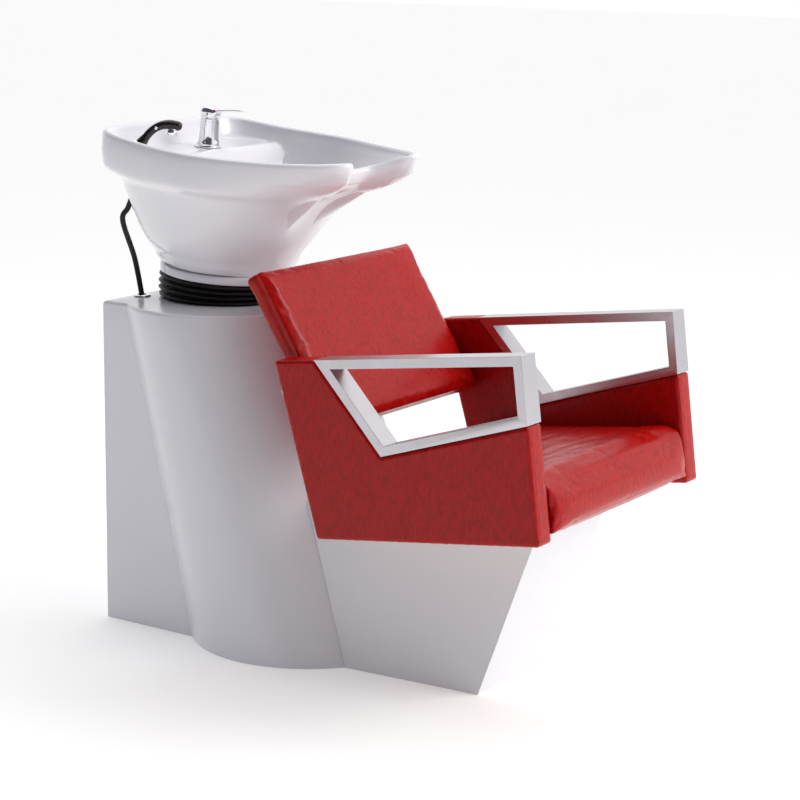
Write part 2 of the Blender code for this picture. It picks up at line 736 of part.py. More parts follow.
def inner_point(plan, share, sink=0.0):
    """A point of the basin, from the sump (share 0) to the inner rim (share 1)."""
    edge = rim_point(plan, 2.2 * RIM_ROUND, 0.0)
    start = Vector((0.0, SUMP_Y))
    away = Vector((edge.x, edge.y)) - start
    flat = start + away * share
    steepness = 2.6 - 1.3 * smooth_step(plan[2])
    wall = share ** steepness
    low = SUMP_HEIGHT
    height = low + (edge.z - RIM_ROUND - low) * wall
    deck = low + (RIM_HEIGHT - DECK_DEPTH - low) * smooth_step((flat.y - DECK_FRONT_LOW) / DECK_SLOPE)
    height = max(height, deck)
    return Vector((flat.x, flat.y, height - sink))


def build_bowl(parent):
    plans = closed_spline(RIM_PLAN, COLUMNS)
    rings = [[outer_point(p, level) for p in plans] for level in OUTER_LEVELS]
    rings.append([rim_point(p, 0.0, RIM_ROUND) for p in plans])
    rings.append([rim_point(p, RIM_ROUND * 0.3, RIM_ROUND * 0.3) for p in plans])
    rings.append([rim_point(p, RIM_ROUND, 0.0) for p in plans])
    rings.append([rim_point(p, RIM_ROUND * 1.7, RIM_ROUND * 0.3) for p in plans])
    for share in INNER_SHARES:
        rings.append([inner_point(p, share) for p in plans])
    sump = [sump_point(p, SUMP_RADIUS, SUMP_HEIGHT) for p in plans]
    drain_top = [sump_point(p, DRAIN_RADIUS, SUMP_HEIGHT - 0.004) for p in plans]
    drain_low = [sump_point(p, DRAIN_RADIUS, SUMP_HEIGHT - 0.018) for p in plans]
    under_sump = [sump_point(p, SUMP_RADIUS + BOWL_WALL, SUMP_HEIGHT - 0.018) for p in plans]
    rings += [sump, drain_top, drain_low, under_sump]
    for share in (0.48, 0.60, 0.72, 0.82):
        rings.append([inner_point(p, share, BOWL_WALL) for p in plans])
    for level in (OUTER_LEVELS[7], OUTER_LEVELS[5], OUTER_LEVELS[3], OUTER_LEVELS[1], OUTER_LEVELS[0]):
        rings.append([outer_point(p, level, BOWL_WALL) for p in plans])
    bowl = ring_body("bowl", rings, "white_ceramic", parent)
    deck = RIM_HEIGHT - DECK_DEPTH
    cut(bowl, cylinder_between("mixer_hole_cutter", (MIXER_X, MIXER_Y, deck - 0.03),
                               (MIXER_X, MIXER_Y, deck + 0.01),
                               MIXER_SHANK + GAP, "white_ceramic", parent))
    axis = spray_axis()
    seat = Vector((SPRAY_X, SPRAY_Y, deck))
    cut(bowl, cylinder_between("holder_hole_cutter", seat - axis * 0.060, seat + axis * 0.030,
                               HOLDER_RADIUS + GAP, "white_ceramic", parent))
    cut(bowl, cylinder_between("hose_hole_cutter", HOSE_EXIT + HOSE_SLOPE * 1.5, HOSE_EXIT - HOSE_SLOPE,
                               HOSE_RADIUS + 0.006, "white_ceramic", parent))


def sump_point(plan, radius, height):
    edge = rim_point(plan, 0.0, 0.0)
    direction = Vector((edge.x, edge.y - SUMP_Y)).normalized() * radius
    return Vector((direction.x, direction.y + SUMP_Y, height))


def spray_axis():
    """Direction in which the hand spray lifts out, in the bowl's frame."""
    lean = math.sin(SPRAY_LEAN)
    return Vector((lean * math.sin(SPRAY_TURN), -lean * math.cos(SPRAY_TURN), math.cos(SPRAY_LEAN)))


def build_bowl_fittings(parent):
    foot = BOWL_FOOT_RADIUS - 0.002
    plate_top = BOWL_FOOT - GAP
    turned_ring("bowl_collar", ((foot + GAP, COLLAR_LOW), (COLLAR_RADIUS - 0.002, COLLAR_LOW),
                                (COLLAR_RADIUS, COLLAR_LOW + 0.003), (COLLAR_RADIUS, plate_top - 0.003),
                                (COLLAR_RADIUS - 0.003, plate_top), (foot + GAP, plate_top)),
                "white_gelcoat", parent, count=48)
    bracket = turned_body("tilt_bracket", ((foot, plate_top - 0.004), (foot, plate_top)), "painted_steel",
                          parent,
                          count=32)
    for name, x in (("right_lug", -LUG_X), ("left_lug", LUG_X)):
        outline = [(-LUG_RADIUS, plate_top - 0.001)]
        outline += [(-LUG_RADIUS * math.cos(math.pi * k / 10), -LUG_RADIUS * math.sin(math.pi * k / 10))
                    for k in range(11)]
        outline.append((LUG_RADIUS, plate_top - 0.001))
        lug = prism(name + "_addition", outline, x - LUG_THICK / 2, x + LUG_THICK / 2,
                    lambda y, z, a: Vector((a, y, z)), "painted_steel", parent)
        add(bracket, lug)
    for name, y, radius in (("tail_room_cutter", SUMP_Y, DRAIN_RADIUS + 0.010),
                            ("flex_room_cutter", FLEX_Y, 0.026)):
        cut(bracket, cylinder_between(name, (0.0, y, 0.0), (0.0, y, 0.06), radius, "painted_steel",
                                      parent))
    reach = LUG_X + 0.01
    cut(bracket, cylinder_between("lug_bore_cutter", (-reach, 0, 0), (reach, 0, 0), PIN_RADIUS + RUNNING,
                                  "painted_steel", parent, count=24))
    flange_low = SUMP_HEIGHT - 0.004 + GAP
    bore = DRAIN_RADIUS - 0.003
    turned_ring("waste_flange", ((bore, flange_low - 0.020), (DRAIN_RADIUS - GAP, flange_low - 0.020),
                                 (DRAIN_RADIUS - GAP, flange_low + 0.0035),
                                 (SUMP_RADIUS - 0.002, SUMP_HEIGHT + 0.001),
                                 (SUMP_RADIUS - 0.004, SUMP_HEIGHT + 0.003), (bore, flange_low)),
                "chrome", parent, (0.0, SUMP_Y))
    tail_top = flange_low - 0.020 - GAP
    turned_ring("waste_tail", ((bore, tail_top), (bore, -0.012), (bore - 0.003, -0.012),
                               (bore - 0.003, tail_top)),
                "white_plastic", parent, (0.0, SUMP_Y))


def build_strainer(parent):
    """Removable strainer cup in the waste flange, with a lifting knob."""
    low = SUMP_HEIGHT + 0.003 + GAP
    frame = pivot("strainer_pivot", (0.0, SUMP_Y, low), parent)
    reach = SUMP_RADIUS - 0.007
    cup = DRAIN_RADIUS - 0.005
    turned_body("hair_strainer", ((cup - 0.002, -0.016), (cup, -0.014), (cup, 0.0), (reach, 0.0),
                                  (reach, 0.002), (0.006, 0.003), (0.004, 0.006), (0.006, 0.011),
                                  (0.003, 0.013)),
                "chrome", frame)


def build_mixer(parent):
    deck = RIM_HEIGHT - DECK_DEPTH + GAP
    centre = (MIXER_X, MIXER_Y)
    turned_ring("mixer_base_ring", ((MIXER_SHANK + GAP, deck), (MIXER_BASE_RADIUS, deck),
                                    (MIXER_BASE_RADIUS, deck + 0.003),
                                    (MIXER_BASE_RADIUS - 0.003, deck + 0.006),
                                    (MIXER_SHANK + GAP, deck + 0.006)), "chrome", parent, centre, 32)
    body_low = deck + 0.006 + GAP
    body_top = body_low + MIXER_BODY_HEIGHT
    turned_body("mixer_body", ((MIXER_SHANK, deck - 0.040), (MIXER_SHANK, body_low),
                               (MIXER_RADIUS + 0.003, body_low),
                               (MIXER_RADIUS + 0.001, body_low + 0.008), (MIXER_RADIUS, body_low + 0.020),
                               (MIXER_RADIUS, body_top)), "chrome", parent, centre, 32)
    turned_ring("mixer_nut", ((MIXER_SHANK + GAP, deck - 0.024), (MIXER_SHANK + 0.009, deck - 0.024),
                              (MIXER_SHANK + 0.009, deck - 0.014), (MIXER_SHANK + GAP, deck - 0.014)),
                "brass", parent, centre, 24)
    turret = pivot("mixer_turret_pivot", (*centre, body_top + GAP), parent)
    turned_body("mixer_turret", ((MIXER_RADIUS - 0.001, 0.0), (MIXER_RADIUS - 0.001, 0.003),
                                 (0.006, 0.003),
                                 (0.006, 0.008)), "chrome", turret, count=24)
    handle = pivot("mixer_handle_pivot", LEVER_HINGE, turret)
    build_lever(handle)


def build_lever(parent):
    """The cap and the blade of the tap's handle, one casting that lifts about its rear."""
    radius = MIXER_RADIUS - 0.0005
    low, high = 0.0036, 0.0250
    hinge = Vector(LEVER_HINGE)
    stations = 9
    rings = []
    for k in range(stations):
        share = k / (stations - 1)
        y = radius * 0.93 * (1 - share) - LEVER_LENGTH * share
        blade = smooth_step((share - 0.10) / 0.40)
        width = radius * (1 - 0.62 * blade) * (math.sin(math.pi * min(1.0,
                                                                      0.16 + share * 1.6) / 2) ** 0.5)
        dome = math.sin(math.pi * min(1.0, share * 2.4 + 0.15) / 2)
        top = high * (0.70 + 0.30 * dome) + 0.006 * smooth_step(share)
        bottom = low + (top - 0.0035 - low) * smooth_step((share - 0.26) / 0.16)
        rings.append([Vector((width * x, y, bottom + (top - bottom) * z)) - hinge for x, z in
                      ((-1.0, 0.0), (1.0, 0.0), (1.0, 0.55), (0.7, 0.88), (0.0, 1.0), (-0.7, 0.88),
                       (-1.0, 0.55))])
    handle = capped_body("mixer_handle", rings, "chrome", parent)
    cut(handle, box("stem_room_cutter", Vector((-0.0075, -0.0120, -0.01)) - hinge,
                    Vector((0.0075, 0.0100, 0.0115)) - hinge, "chrome", parent))


def build_spray(parent):
    deck = RIM_HEIGHT - DECK_DEPTH
    seat = Vector((SPRAY_X, SPRAY_Y, deck))
    axis = spray_axis()
    turn = Vector((0, 0, 1)).rotation_difference(axis)
    bore = SPRAY_RADIUS + 0.0006
    holder = [(bore, -0.022), (HOLDER_RADIUS, -0.022), (HOLDER_RADIUS, 0.013),
              (HOLDER_RADIUS - 0.003, 0.016),
              (bore, 0.016)]
    ring_body("spray_holder", [[turn @ p + seat for p in circle(r, z, 20)] for r, z in holder], "chrome",
              parent)
    frame = pivot("spray_pivot", seat, parent)
    ferrule = [[turn @ p for p in circle(r, z, 16)] for r, z in
               ((HOSE_RADIUS + 0.002, -0.030), (SPRAY_RADIUS - 0.0015, -0.026),
                (SPRAY_RADIUS - 0.0015, -0.012))]
    capped_body("spray_ferrule", ferrule, "chrome", frame)
    bend = spray_spine()
    rings = []
    for point, direction, radius in bend:
        frame_turn = Vector((0, 0, 1)).rotation_difference(direction)
        rings.append([frame_turn @ p + point for p in circle(radius, 0.0, 16)])
    capped_body("spray_handle", rings, "black_plastic", frame)
    point, direction, radius = bend[-2]
    drop = direction.cross(direction.cross(Vector((0, 0, 1)))).normalized()
    face = point + drop * (radius + 0.0025)
    nozzle_turn = Vector((0, 0, 1)).rotation_difference(drop)
    nozzle = [[nozzle_turn @ p + face for p in circle(r, z, 20)] for r, z in
              ((0.0085, 0.0), (0.0105, 0.003), (0.0105, 0.010), (0.0090, 0.0115))]
    capped_body("spray_nozzle", nozzle, "chrome", frame)


def spray_spine():
    """Points, directions and radii along the curved handle, from its tail to its head."""
    axis = spray_axis()
    flat = Vector((axis.x, axis.y, 0.0)).normalized()
    stations = []
    steps = 9
    point = axis * (-0.012 + GAP)
    for k in range(steps):
        share = k / (steps - 1)
        angle = SPRAY_LEAN + (SPRAY_HEAD - SPRAY_LEAN) * smooth_step((share - 0.30) / 0.70)
        direction = flat * math.sin(angle) + Vector((0, 0, math.cos(angle)))
        radius = SPRAY_RADIUS + 0.0015 * smooth_step((share - 0.35) / 0.3)
        if k == steps - 1:
            radius -= 0.004
        stations.append((point.copy(), direction, radius))
        point = point + direction * (SPRAY_REACH / (steps - 1))
    return stations


# ---------------------------------------------------------------- bellows and tilt bracket
def bowl_to_world(point):
    turn = Matrix.Rotation(BOWL_TILT, 3, "X")
    return turn @ Vector(point) + Vector((0.0, TILT_Y, TILT_Z))


def build_bellows():
    """Accordion sleeve from the pedestal's flat top to the collar's tilted underside."""
    steps = 2 * BELLOWS_FOLDS
    profile = []
    for k in range(steps + 1):
        share = k / steps
        peak = k % 2 == 1
        swell = math.sin(math.pi * share)
        radius = BELLOWS_OUTER - 0.003 * (1 - swell) if peak else BELLOWS_OUTER - 0.011 + 0.002 * swell
        profile.append((share, radius))
    profile += [(share, radius - BELLOWS_WALL) for share, radius in reversed(profile)]
    rings = []
    for share, radius in profile:
        low = [point + Vector((0, TILT_Y, 0)) for point in circle(radius, PEDESTAL_HEIGHT + GAP,
                                                                  BELLOWS_SIDES)]
        high = [bowl_to_world(point) for point in circle(radius, COLLAR_LOW - GAP, BELLOWS_SIDES)]
        rings.append([a.lerp(b, share) for a, b in zip(low, high)])
    ring_body("bellows", rings, "black_rubber")
    low = PEDESTAL_HEIGHT + GAP
    outer = BELLOWS_OUTER - 0.011 - BELLOWS_WALL - GAP
    turned_ring("bellows_ring", ((BELLOWS_INNER - 0.010, low), (outer, low), (outer, low + 0.003),
                                 (BELLOWS_INNER - 0.010, low + 0.003)), "zinc_steel", None, (0.0, TILT_Y),
                BELLOWS_SIDES)


def build_tilt_hinge():
    out, inside = YOKE_X + LUG_THICK / 2, YOKE_X - LUG_THICK / 2
    top, floor = TILT_Z + LUG_RADIUS, YOKE_BASE + LUG_THICK
    outline = ((-out, YOKE_BASE), (out, YOKE_BASE), (out, top), (inside, top), (inside, floor),
               (-inside, floor), (-inside, top), (-out, top))
    yoke = prism("tilt_yoke", outline, TILT_Y - LUG_RADIUS, TILT_Y + LUG_RADIUS,
                 lambda x, z, y: Vector((x, y, z)), "painted_steel")
    centre = Vector((0.0, TILT_Y, TILT_Z))
    reach = Vector((out + 0.010, 0.0, 0.0))
    cut(yoke, cylinder_between("yoke_bore_cutter", centre - reach, centre + reach, PIN_RADIUS + GAP,
                               "painted_steel", count=24))
    reach = Vector((out + 0.004, 0.0, 0.0))
    cylinder_between("tilt_pin", centre - reach, centre + reach, PIN_RADIUS, "zinc_steel", count=24)


# ---------------------------------------------------------------- grommet, door and plumbing
def build_grommet():
    top = PEDESTAL_HEIGHT + GAP
    low, face = top - 0.014, top + 0.0035
    turned_ring("hose_grommet", ((GROMMET_BORE, low), (GROMMET_NECK, low), (GROMMET_NECK, top),
                                 (GROMMET_RADIUS, top),
                                 (GROMMET_RADIUS - 0.001, top + 0.002), (GROMMET_RADIUS - 0.003, face),
                                 (GROMMET_BORE, face)), "chrome", None, (GROMMET_X, GROMMET_Y), 24)


def hinge_leaf(name, sign, low, high, parent, origin):
    """A flat leaf with half of the hinge's barrel; sign is the side to which the leaf points."""
    face, thick, reach = PEDESTAL_REAR + GAP, 0.0022, 0.030
    outline = [(HINGE_X + sign * reach, face), (HINGE_X + sign * reach, face + thick)]
    start = math.asin((HINGE_Y - face - thick) / HINGE_RADIUS)
    for k in range(13):
        angle = -start + (math.pi + 2 * start) * k / 12 if k < 12 else math.pi + start
        outline.append((HINGE_X + sign * HINGE_RADIUS * math.cos(angle),
                        HINGE_Y + HINGE_RADIUS * math.sin(angle)))
    outline.append((HINGE_X, face))
    leaf = prism(name, outline, low, high, lambda x, y, z: Vector((x, y, z)) - origin, "zinc_steel",
                 parent)
    bore = cylinder_between(name + "_bore_cutter", Vector((HINGE_X, HINGE_Y, low - 0.002)) - origin,
                            Vector((HINGE_X, HINGE_Y, high + 0.002)) - origin, HINGE_PIN + GAP,
                            "zinc_steel", parent, 12)
    cut(leaf, bore)


def build_door():
    edge = DOOR_HALF_WIDTH - DOOR_GAP
    origin = Vector((HINGE_X, HINGE_Y, 0.0))
    frame = pivot("door_pivot", origin)
    door = box("access_door", Vector((-edge, PEDESTAL_REAR - DOOR_THICK, DOOR_LOW + DOOR_GAP)) - origin,
               Vector((edge, PEDESTAL_REAR, DOOR_HIGH - DOOR_GAP)) - origin, "white_gelcoat", frame)
    soften(door, 0.0012)
    for name, middle in (("lower", DOOR_LOW + 0.060), ("upper", DOOR_HIGH - 0.060)):
        hinge_leaf("door_leaf_" + name, -1.0, middle - HINGE_LENGTH, middle - GAP, frame, origin)
        hinge_leaf("frame_leaf_" + name, 1.0, middle + GAP, middle + HINGE_LENGTH, None,
                   Vector((0, 0, 0)))
        cylinder_between("door_pin_" + name, (HINGE_X, HINGE_Y, middle - HINGE_LENGTH),
                         (HINGE_X, HINGE_Y, middle + HINGE_LENGTH), HINGE_PIN, "zinc_steel", count=12)
    knob = [[Vector((-DOOR_HALF_WIDTH + 0.025 + p.x, PEDESTAL_REAR + GAP + p.z,
                     0.5 * (DOOR_LOW + DOOR_HIGH) + p.y))
             - origin for p in circle(r, z, 20)] for r,
            z in ((0.006, 0.0), (0.006, 0.004), (0.011, 0.006), (0.010, 0.012))]
    capped_body("door_knob", knob, "satin_steel", frame)


def build_valves():
    rear = TILT_Y + POST_SIDE / 2 + GAP
    box("valve_bracket", (-VALVE_X - 0.020, rear, VALVE_Z - 0.030),
        (VALVE_X + 0.020, rear + BRACKET_PLATE, VALVE_Z + 0.030),
        "zinc_steel")
    turned_body("outlet_union", ((0.008, VALVE_Z - 0.031), (0.008, VALVE_Z - 0.012),
                                 (0.0105, VALVE_Z - 0.010),
                                 (0.0105, VALVE_Z + 0.010), (0.007, VALVE_Z + 0.014),
                                 (0.007, VALVE_Z + 0.026)),
                "brass", None, (0.0, UNION_Y), 12)
    for name, sign, mark in (("hot", -1.0, "red_mark"), ("cold", 1.0, "blue_mark")):
        x = sign * VALVE_X
        turned_body(name + "_stop_valve", ((0.009, VALVE_Z - 0.045), (0.009, VALVE_Z - 0.022),
                                           (VALVE_RADIUS, VALVE_Z - 0.018),
                                           (VALVE_RADIUS, VALVE_Z + 0.018),
                                           (0.008, VALVE_Z + 0.022), (0.008, VALVE_Z + 0.034)),
                    "brass", None, (x, UNION_Y), 16)
        frame = pivot(name + "_handle_pivot", (x, UNION_Y + VALVE_RADIUS + GAP, VALVE_Z))
        rings = []
        for half, depth, y in ((0.004, 0.004, 0.0), (0.004, 0.004, 0.008), (0.019, 0.0065, 0.0085),
                               (0.020, 0.0070, 0.0125), (0.018, 0.0055, 0.0145)):
            rings.append([Vector((half * math.cos(math.tau * k / 16), y,
                                  depth * math.sin(math.tau * k / 16)))
                          for k in range(16)])
        capped_body(name + "_valve_handle", rings, mark, frame)
        build_flex(name, x, sign)


def build_flex(name, x, sign):
    """Braided supply hose from a stop valve, through the bellows, to the mixer's shank."""
    end = Vector((MIXER_X + sign * 0.0075, MIXER_Y, RIM_HEIGHT - DECK_DEPTH - 0.041 - GAP))
    route = [(x, UNION_Y, VALVE_Z + 0.034 + GAP), (x, UNION_Y, VALVE_Z + 0.10),
             (x, UNION_Y + 0.010, 0.56),
             (sign * 0.030, 0.362, 0.655)]
    route += [bowl_to_world((sign * 0.012 + 0.002, FLEX_Y, z)) for z in (0.020, 0.060)]
    route += [bowl_to_world(end + Vector((0, -0.003, -0.07))), bowl_to_world(end)]
    hose(name + "_supply_hose", route, FLEX_RADIUS, 24, "satin_steel")


def build_waste():
    tail = bowl_to_world((0.0, SUMP_Y, -0.012))
    y_trap = TILT_Y - POST_SIDE / 2 - 0.010 - TRAP_RADIUS
    neck_top = TRAP_HIGH + 0.034
    hose("waste_hose", [(0.0, tail.y, tail.z - 0.006), (0.0, tail.y - 0.006, tail.z - 0.05),
                        (0.0, y_trap + 0.003, 0.50), (0.0, y_trap, 0.40), (0.0, y_trap, neck_top + GAP)],
         WASTE_HOSE_RADIUS, 16, "black_rubber")
    turned_body("bottle_trap", ((0.016, TRAP_LOW), (TRAP_RADIUS - 0.006, TRAP_LOW + 0.004),
                                (TRAP_RADIUS, TRAP_LOW + 0.015), (TRAP_RADIUS, TRAP_HIGH - 0.010),
                                (TRAP_RADIUS - 0.006, TRAP_HIGH), (0.019, TRAP_HIGH + 0.002),
                                (0.019, neck_top)),
                "white_plastic", None, (0.0, y_trap), 20)
    level = TRAP_HIGH - 0.035
    hose("waste_outlet", [(TRAP_RADIUS + 0.0012, y_trap, level), (OUTLET_X - 0.045, y_trap, level),
                          (OUTLET_X - 0.010, y_trap, level - 0.012), (OUTLET_X, y_trap, level - 0.050),
                          (OUTLET_X, y_trap, 0.100), (OUTLET_X, y_trap, 0.001)], OUTLET_RADIUS, 16,
         "white_plastic")


def build_spray_hose():
    """Hose from the hand spray's tail, out of the bowl's rear skin and down through the grommet."""
    seat = Vector((SPRAY_X, SPRAY_Y, RIM_HEIGHT - DECK_DEPTH))
    axis = spray_axis()
    out = HOSE_EXIT
    upper = [seat - axis * 0.0330, seat - axis * 0.0431, Vector((-0.1596, 0.1523, 0.2101)),
             Vector((-0.1383, 0.1423, 0.1881)), out, out + HOSE_SLOPE * 0.8]
    route = [bowl_to_world(point) for point in upper]
    route += [(GROMMET_X + 0.0014, GROMMET_Y + 0.0197, PEDESTAL_HEIGHT + 0.075),
              (GROMMET_X, GROMMET_Y, PEDESTAL_HEIGHT),
              (GROMMET_X + 0.003, GROMMET_Y - 0.008, PEDESTAL_HEIGHT - 0.040),
              (GROMMET_X + 0.006, GROMMET_Y - 0.015, PEDESTAL_HEIGHT - 0.100),
              (GROMMET_X + 0.008, GROMMET_Y - 0.017, PEDESTAL_HEIGHT - 0.180),
              (-0.104, 0.385, VALVE_Z + 0.040), (-0.101, 0.372, VALVE_Z - 0.025),
              (-0.098, 0.360, VALVE_Z - 0.085), (-0.0836, 0.350, VALVE_Z - 0.1226),
              (-0.049, 0.339, VALVE_Z - 0.137), (-0.0144, 0.331, VALVE_Z - 0.1226),
              (0.0, UNION_Y, VALVE_Z - 0.088), (0.0, UNION_Y, VALVE_Z - 0.060),
              (0.0, UNION_Y, VALVE_Z - 0.0325)]
    hose("spray_hose", route, HOSE_RADIUS, 48, "black_rubber")


def build_bowl_group():
    frame = pivot("bowl_pivot", (0.0, TILT_Y, TILT_Z), rotation=(BOWL_TILT, 0.0, 0.0))
    build_bowl(frame)
    build_bowl_fittings(frame)
    build_strainer(frame)
    build_mixer(frame)
    build_spray(frame)


def main():
    clear_scene()
    build_base()
    build_pedestal()
    build_plinth()
    build_chair()
    build_bowl_group()
    build_bellows()
    build_tilt_hinge()
    build_grommet()
    build_door()
    build_valves()
    build_waste()
    build_spray_hose()


main()
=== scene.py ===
"""Looks of a salon shampoo backwash unit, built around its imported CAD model.

The unit is a reclined red armchair on a white plinth, joined to a white pedestal that carries a
tilting wash bowl with a mixer tap and a pull-out hand spray. Everything is in metres, +Z up, and
the sitter faces -Y. The sitter's right, where the hand spray stands, is -X.
"""

import json
import logging
import math
from dataclasses import dataclass
from enum import Enum
from typing import Callable

import bpy
from mathutils import Matrix, Vector, noise


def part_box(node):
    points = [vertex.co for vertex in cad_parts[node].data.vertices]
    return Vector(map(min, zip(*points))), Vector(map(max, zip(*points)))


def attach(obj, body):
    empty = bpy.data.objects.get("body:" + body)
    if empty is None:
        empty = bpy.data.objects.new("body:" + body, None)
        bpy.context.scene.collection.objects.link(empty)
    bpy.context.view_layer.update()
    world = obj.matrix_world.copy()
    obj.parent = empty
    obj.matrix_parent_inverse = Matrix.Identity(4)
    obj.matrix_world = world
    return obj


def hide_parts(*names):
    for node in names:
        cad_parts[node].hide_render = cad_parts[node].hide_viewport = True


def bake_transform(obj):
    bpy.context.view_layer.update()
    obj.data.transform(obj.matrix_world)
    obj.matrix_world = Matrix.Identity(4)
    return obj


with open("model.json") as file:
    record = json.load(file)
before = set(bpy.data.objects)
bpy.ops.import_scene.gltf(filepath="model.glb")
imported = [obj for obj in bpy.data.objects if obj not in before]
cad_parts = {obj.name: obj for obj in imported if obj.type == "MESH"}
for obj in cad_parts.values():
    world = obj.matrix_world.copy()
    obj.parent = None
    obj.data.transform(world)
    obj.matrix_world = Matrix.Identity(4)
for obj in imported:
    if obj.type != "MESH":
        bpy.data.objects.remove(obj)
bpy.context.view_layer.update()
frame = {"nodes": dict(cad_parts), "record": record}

LOG = logging.getLogger("backwash_unit")
MERGE = 0.00002                 # points closer than this are one point
GAP = 0.0003                    # clearance between touching pieces
Colour = tuple[float, float, float]
Point = tuple[float, float, float]


class Body(Enum):
    """The rigid bodies of the unit."""

    ROOT = "root"
    BOWL = "bowl"
    HANDLE = "mixer_handle"
    SPRAY = "hand_spray"


# ---------------------------------------------------------------- finishes
class Shader:
    """A material's node tree, with short ways to add and join its nodes."""

    def __init__(self, name: str) -> None:
        """Make an empty Principled material."""
        self.material = bpy.data.materials.new(name)
        self.material.use_nodes = True
        self.tree = self.material.node_tree
        self.surface = self.tree.nodes["Principled BSDF"]

    def add(self, kind: str, inputs: dict | None = None, **settings: object) -> bpy.types.Node:
        """Add a node.

        Args:
            kind: the node's type.
            inputs: value or source socket for each of its inputs, by name or number.
            settings: the node's own properties.

        Returns:
            The new node.
        """
        node = self.tree.nodes.new(kind)
        for key, value in settings.items():
            setattr(node, key, value)
        for key, value in (inputs or {}).items():
            self.feed(node.inputs[key], value)
        return node

    def feed(self, socket: bpy.types.NodeSocket, value: object) -> None:
        """Set a socket's value, or join another node's output to it."""
        if isinstance(value, bpy.types.NodeSocket):
            self.tree.links.new(value, socket)
        else:
            socket.default_value = value

    def ramp(self, factor: bpy.types.NodeSocket, stops: list[tuple[float, Colour]]) -> bpy.types.NodeSocket:
        """Colours spread over a factor."""
        node = self.add("ShaderNodeValToRGB", {"Fac": factor})
        spots = node.color_ramp.elements
        while len(spots) < len(stops):
            spots.new(0.5)
        for spot, (place, colour) in zip(spots, stops):
            spot.position = place
            spot.color = (*colour, 1.0)
        return node.outputs["Color"]

    def rescale(self, value: bpy.types.NodeSocket, source: tuple[float, float],
                target: tuple[float, float]) -> bpy.types.NodeSocket:
        """Move a value from one range to another, held at both ends."""
        node = self.add("ShaderNodeMapRange", {"Value": value, "From Min": source[0], "From Max": source[1],
                                               "To Min": target[0], "To Max": target[1]})
        return node.outputs["Result"]

    def mix(self, factor: object, first: object, second: object) -> bpy.types.NodeSocket:
        """Blend two single values."""
        return self.add("ShaderNodeMix", {0: factor, 2: first, 3: second}).outputs[0]

    def place(self, stretch: Point, turn: Point = (0.0, 0.0, 0.0)) -> bpy.types.NodeSocket:
        """Object coordinates, stretched and turned."""
        source = self.add("ShaderNodeTexCoord").outputs["Object"]
        node = self.add("ShaderNodeMapping", {"Vector": source, "Scale": stretch, "Rotation": turn})
        return node.outputs["Vector"]

    def noise(self, where: bpy.types.NodeSocket, scale: float, detail: float = 3.0) -> bpy.types.NodeSocket:
        """A noise value between 0 and 1."""
        node = self.add("ShaderNodeTexNoise", {"Vector": where, "Scale": scale, "Detail": detail})
        return node.outputs[0]


@dataclass(frozen=True)
class Finish:
    """A surface finish: two near colours in soft patches, uneven gloss and a fine relief."""

    name: str
    colour: Colour
    shade: Colour
    roughness: float
    spread: float
    metallic: float = 0.0
    coat: float = 0.0
    patches: float = 9.0
    grain: float = 900.0
    depth: float = 0.00002
    stretch: Point = (1.0, 1.0, 1.0)
    specular: float = 0.5

    def material(self) -> bpy.types.Material:
        """The finish as a material, made once."""
        made = bpy.data.materials.get(self.name)
        if made:
            return made
        shader = Shader(self.name)
        surface = shader.surface.inputs
        surface["Metallic"].default_value = self.metallic
        surface["Coat Weight"].default_value = self.coat
        surface["Coat Roughness"].default_value = 0.06
        surface["Specular IOR Level"].default_value = self.specular
        patch = shader.noise(shader.place((1.0, 1.0, 1.0)), self.patches, 4.0)
        shader.feed(surface["Base Color"], self.tint(shader, patch))
        gloss = shader.noise(shader.place(self.stretch), self.patches * 5.0)
        low, high = self.roughness - self.spread, self.roughness + self.spread
        shader.feed(surface["Roughness"], shader.rescale(gloss, (0.3, 0.7), (max(0.02, low), high)))
        bump = shader.add("ShaderNodeBump", {"Strength": 1.0, "Distance": self.depth, "Height": self.relief(shader)})
        shader.feed(surface["Normal"], bump.outputs["Normal"])
        return shader.material

    def tint(self, shader: Shader, patch: bpy.types.NodeSocket) -> bpy.types.NodeSocket:
        """The colour over the surface."""
        return shader.ramp(patch, [(0.30, self.shade), (0.70, self.colour)])

    def relief(self, shader: Shader) -> bpy.types.NodeSocket:
        """The height of the fine relief."""
        return shader.noise(shader.place(self.stretch), self.grain)


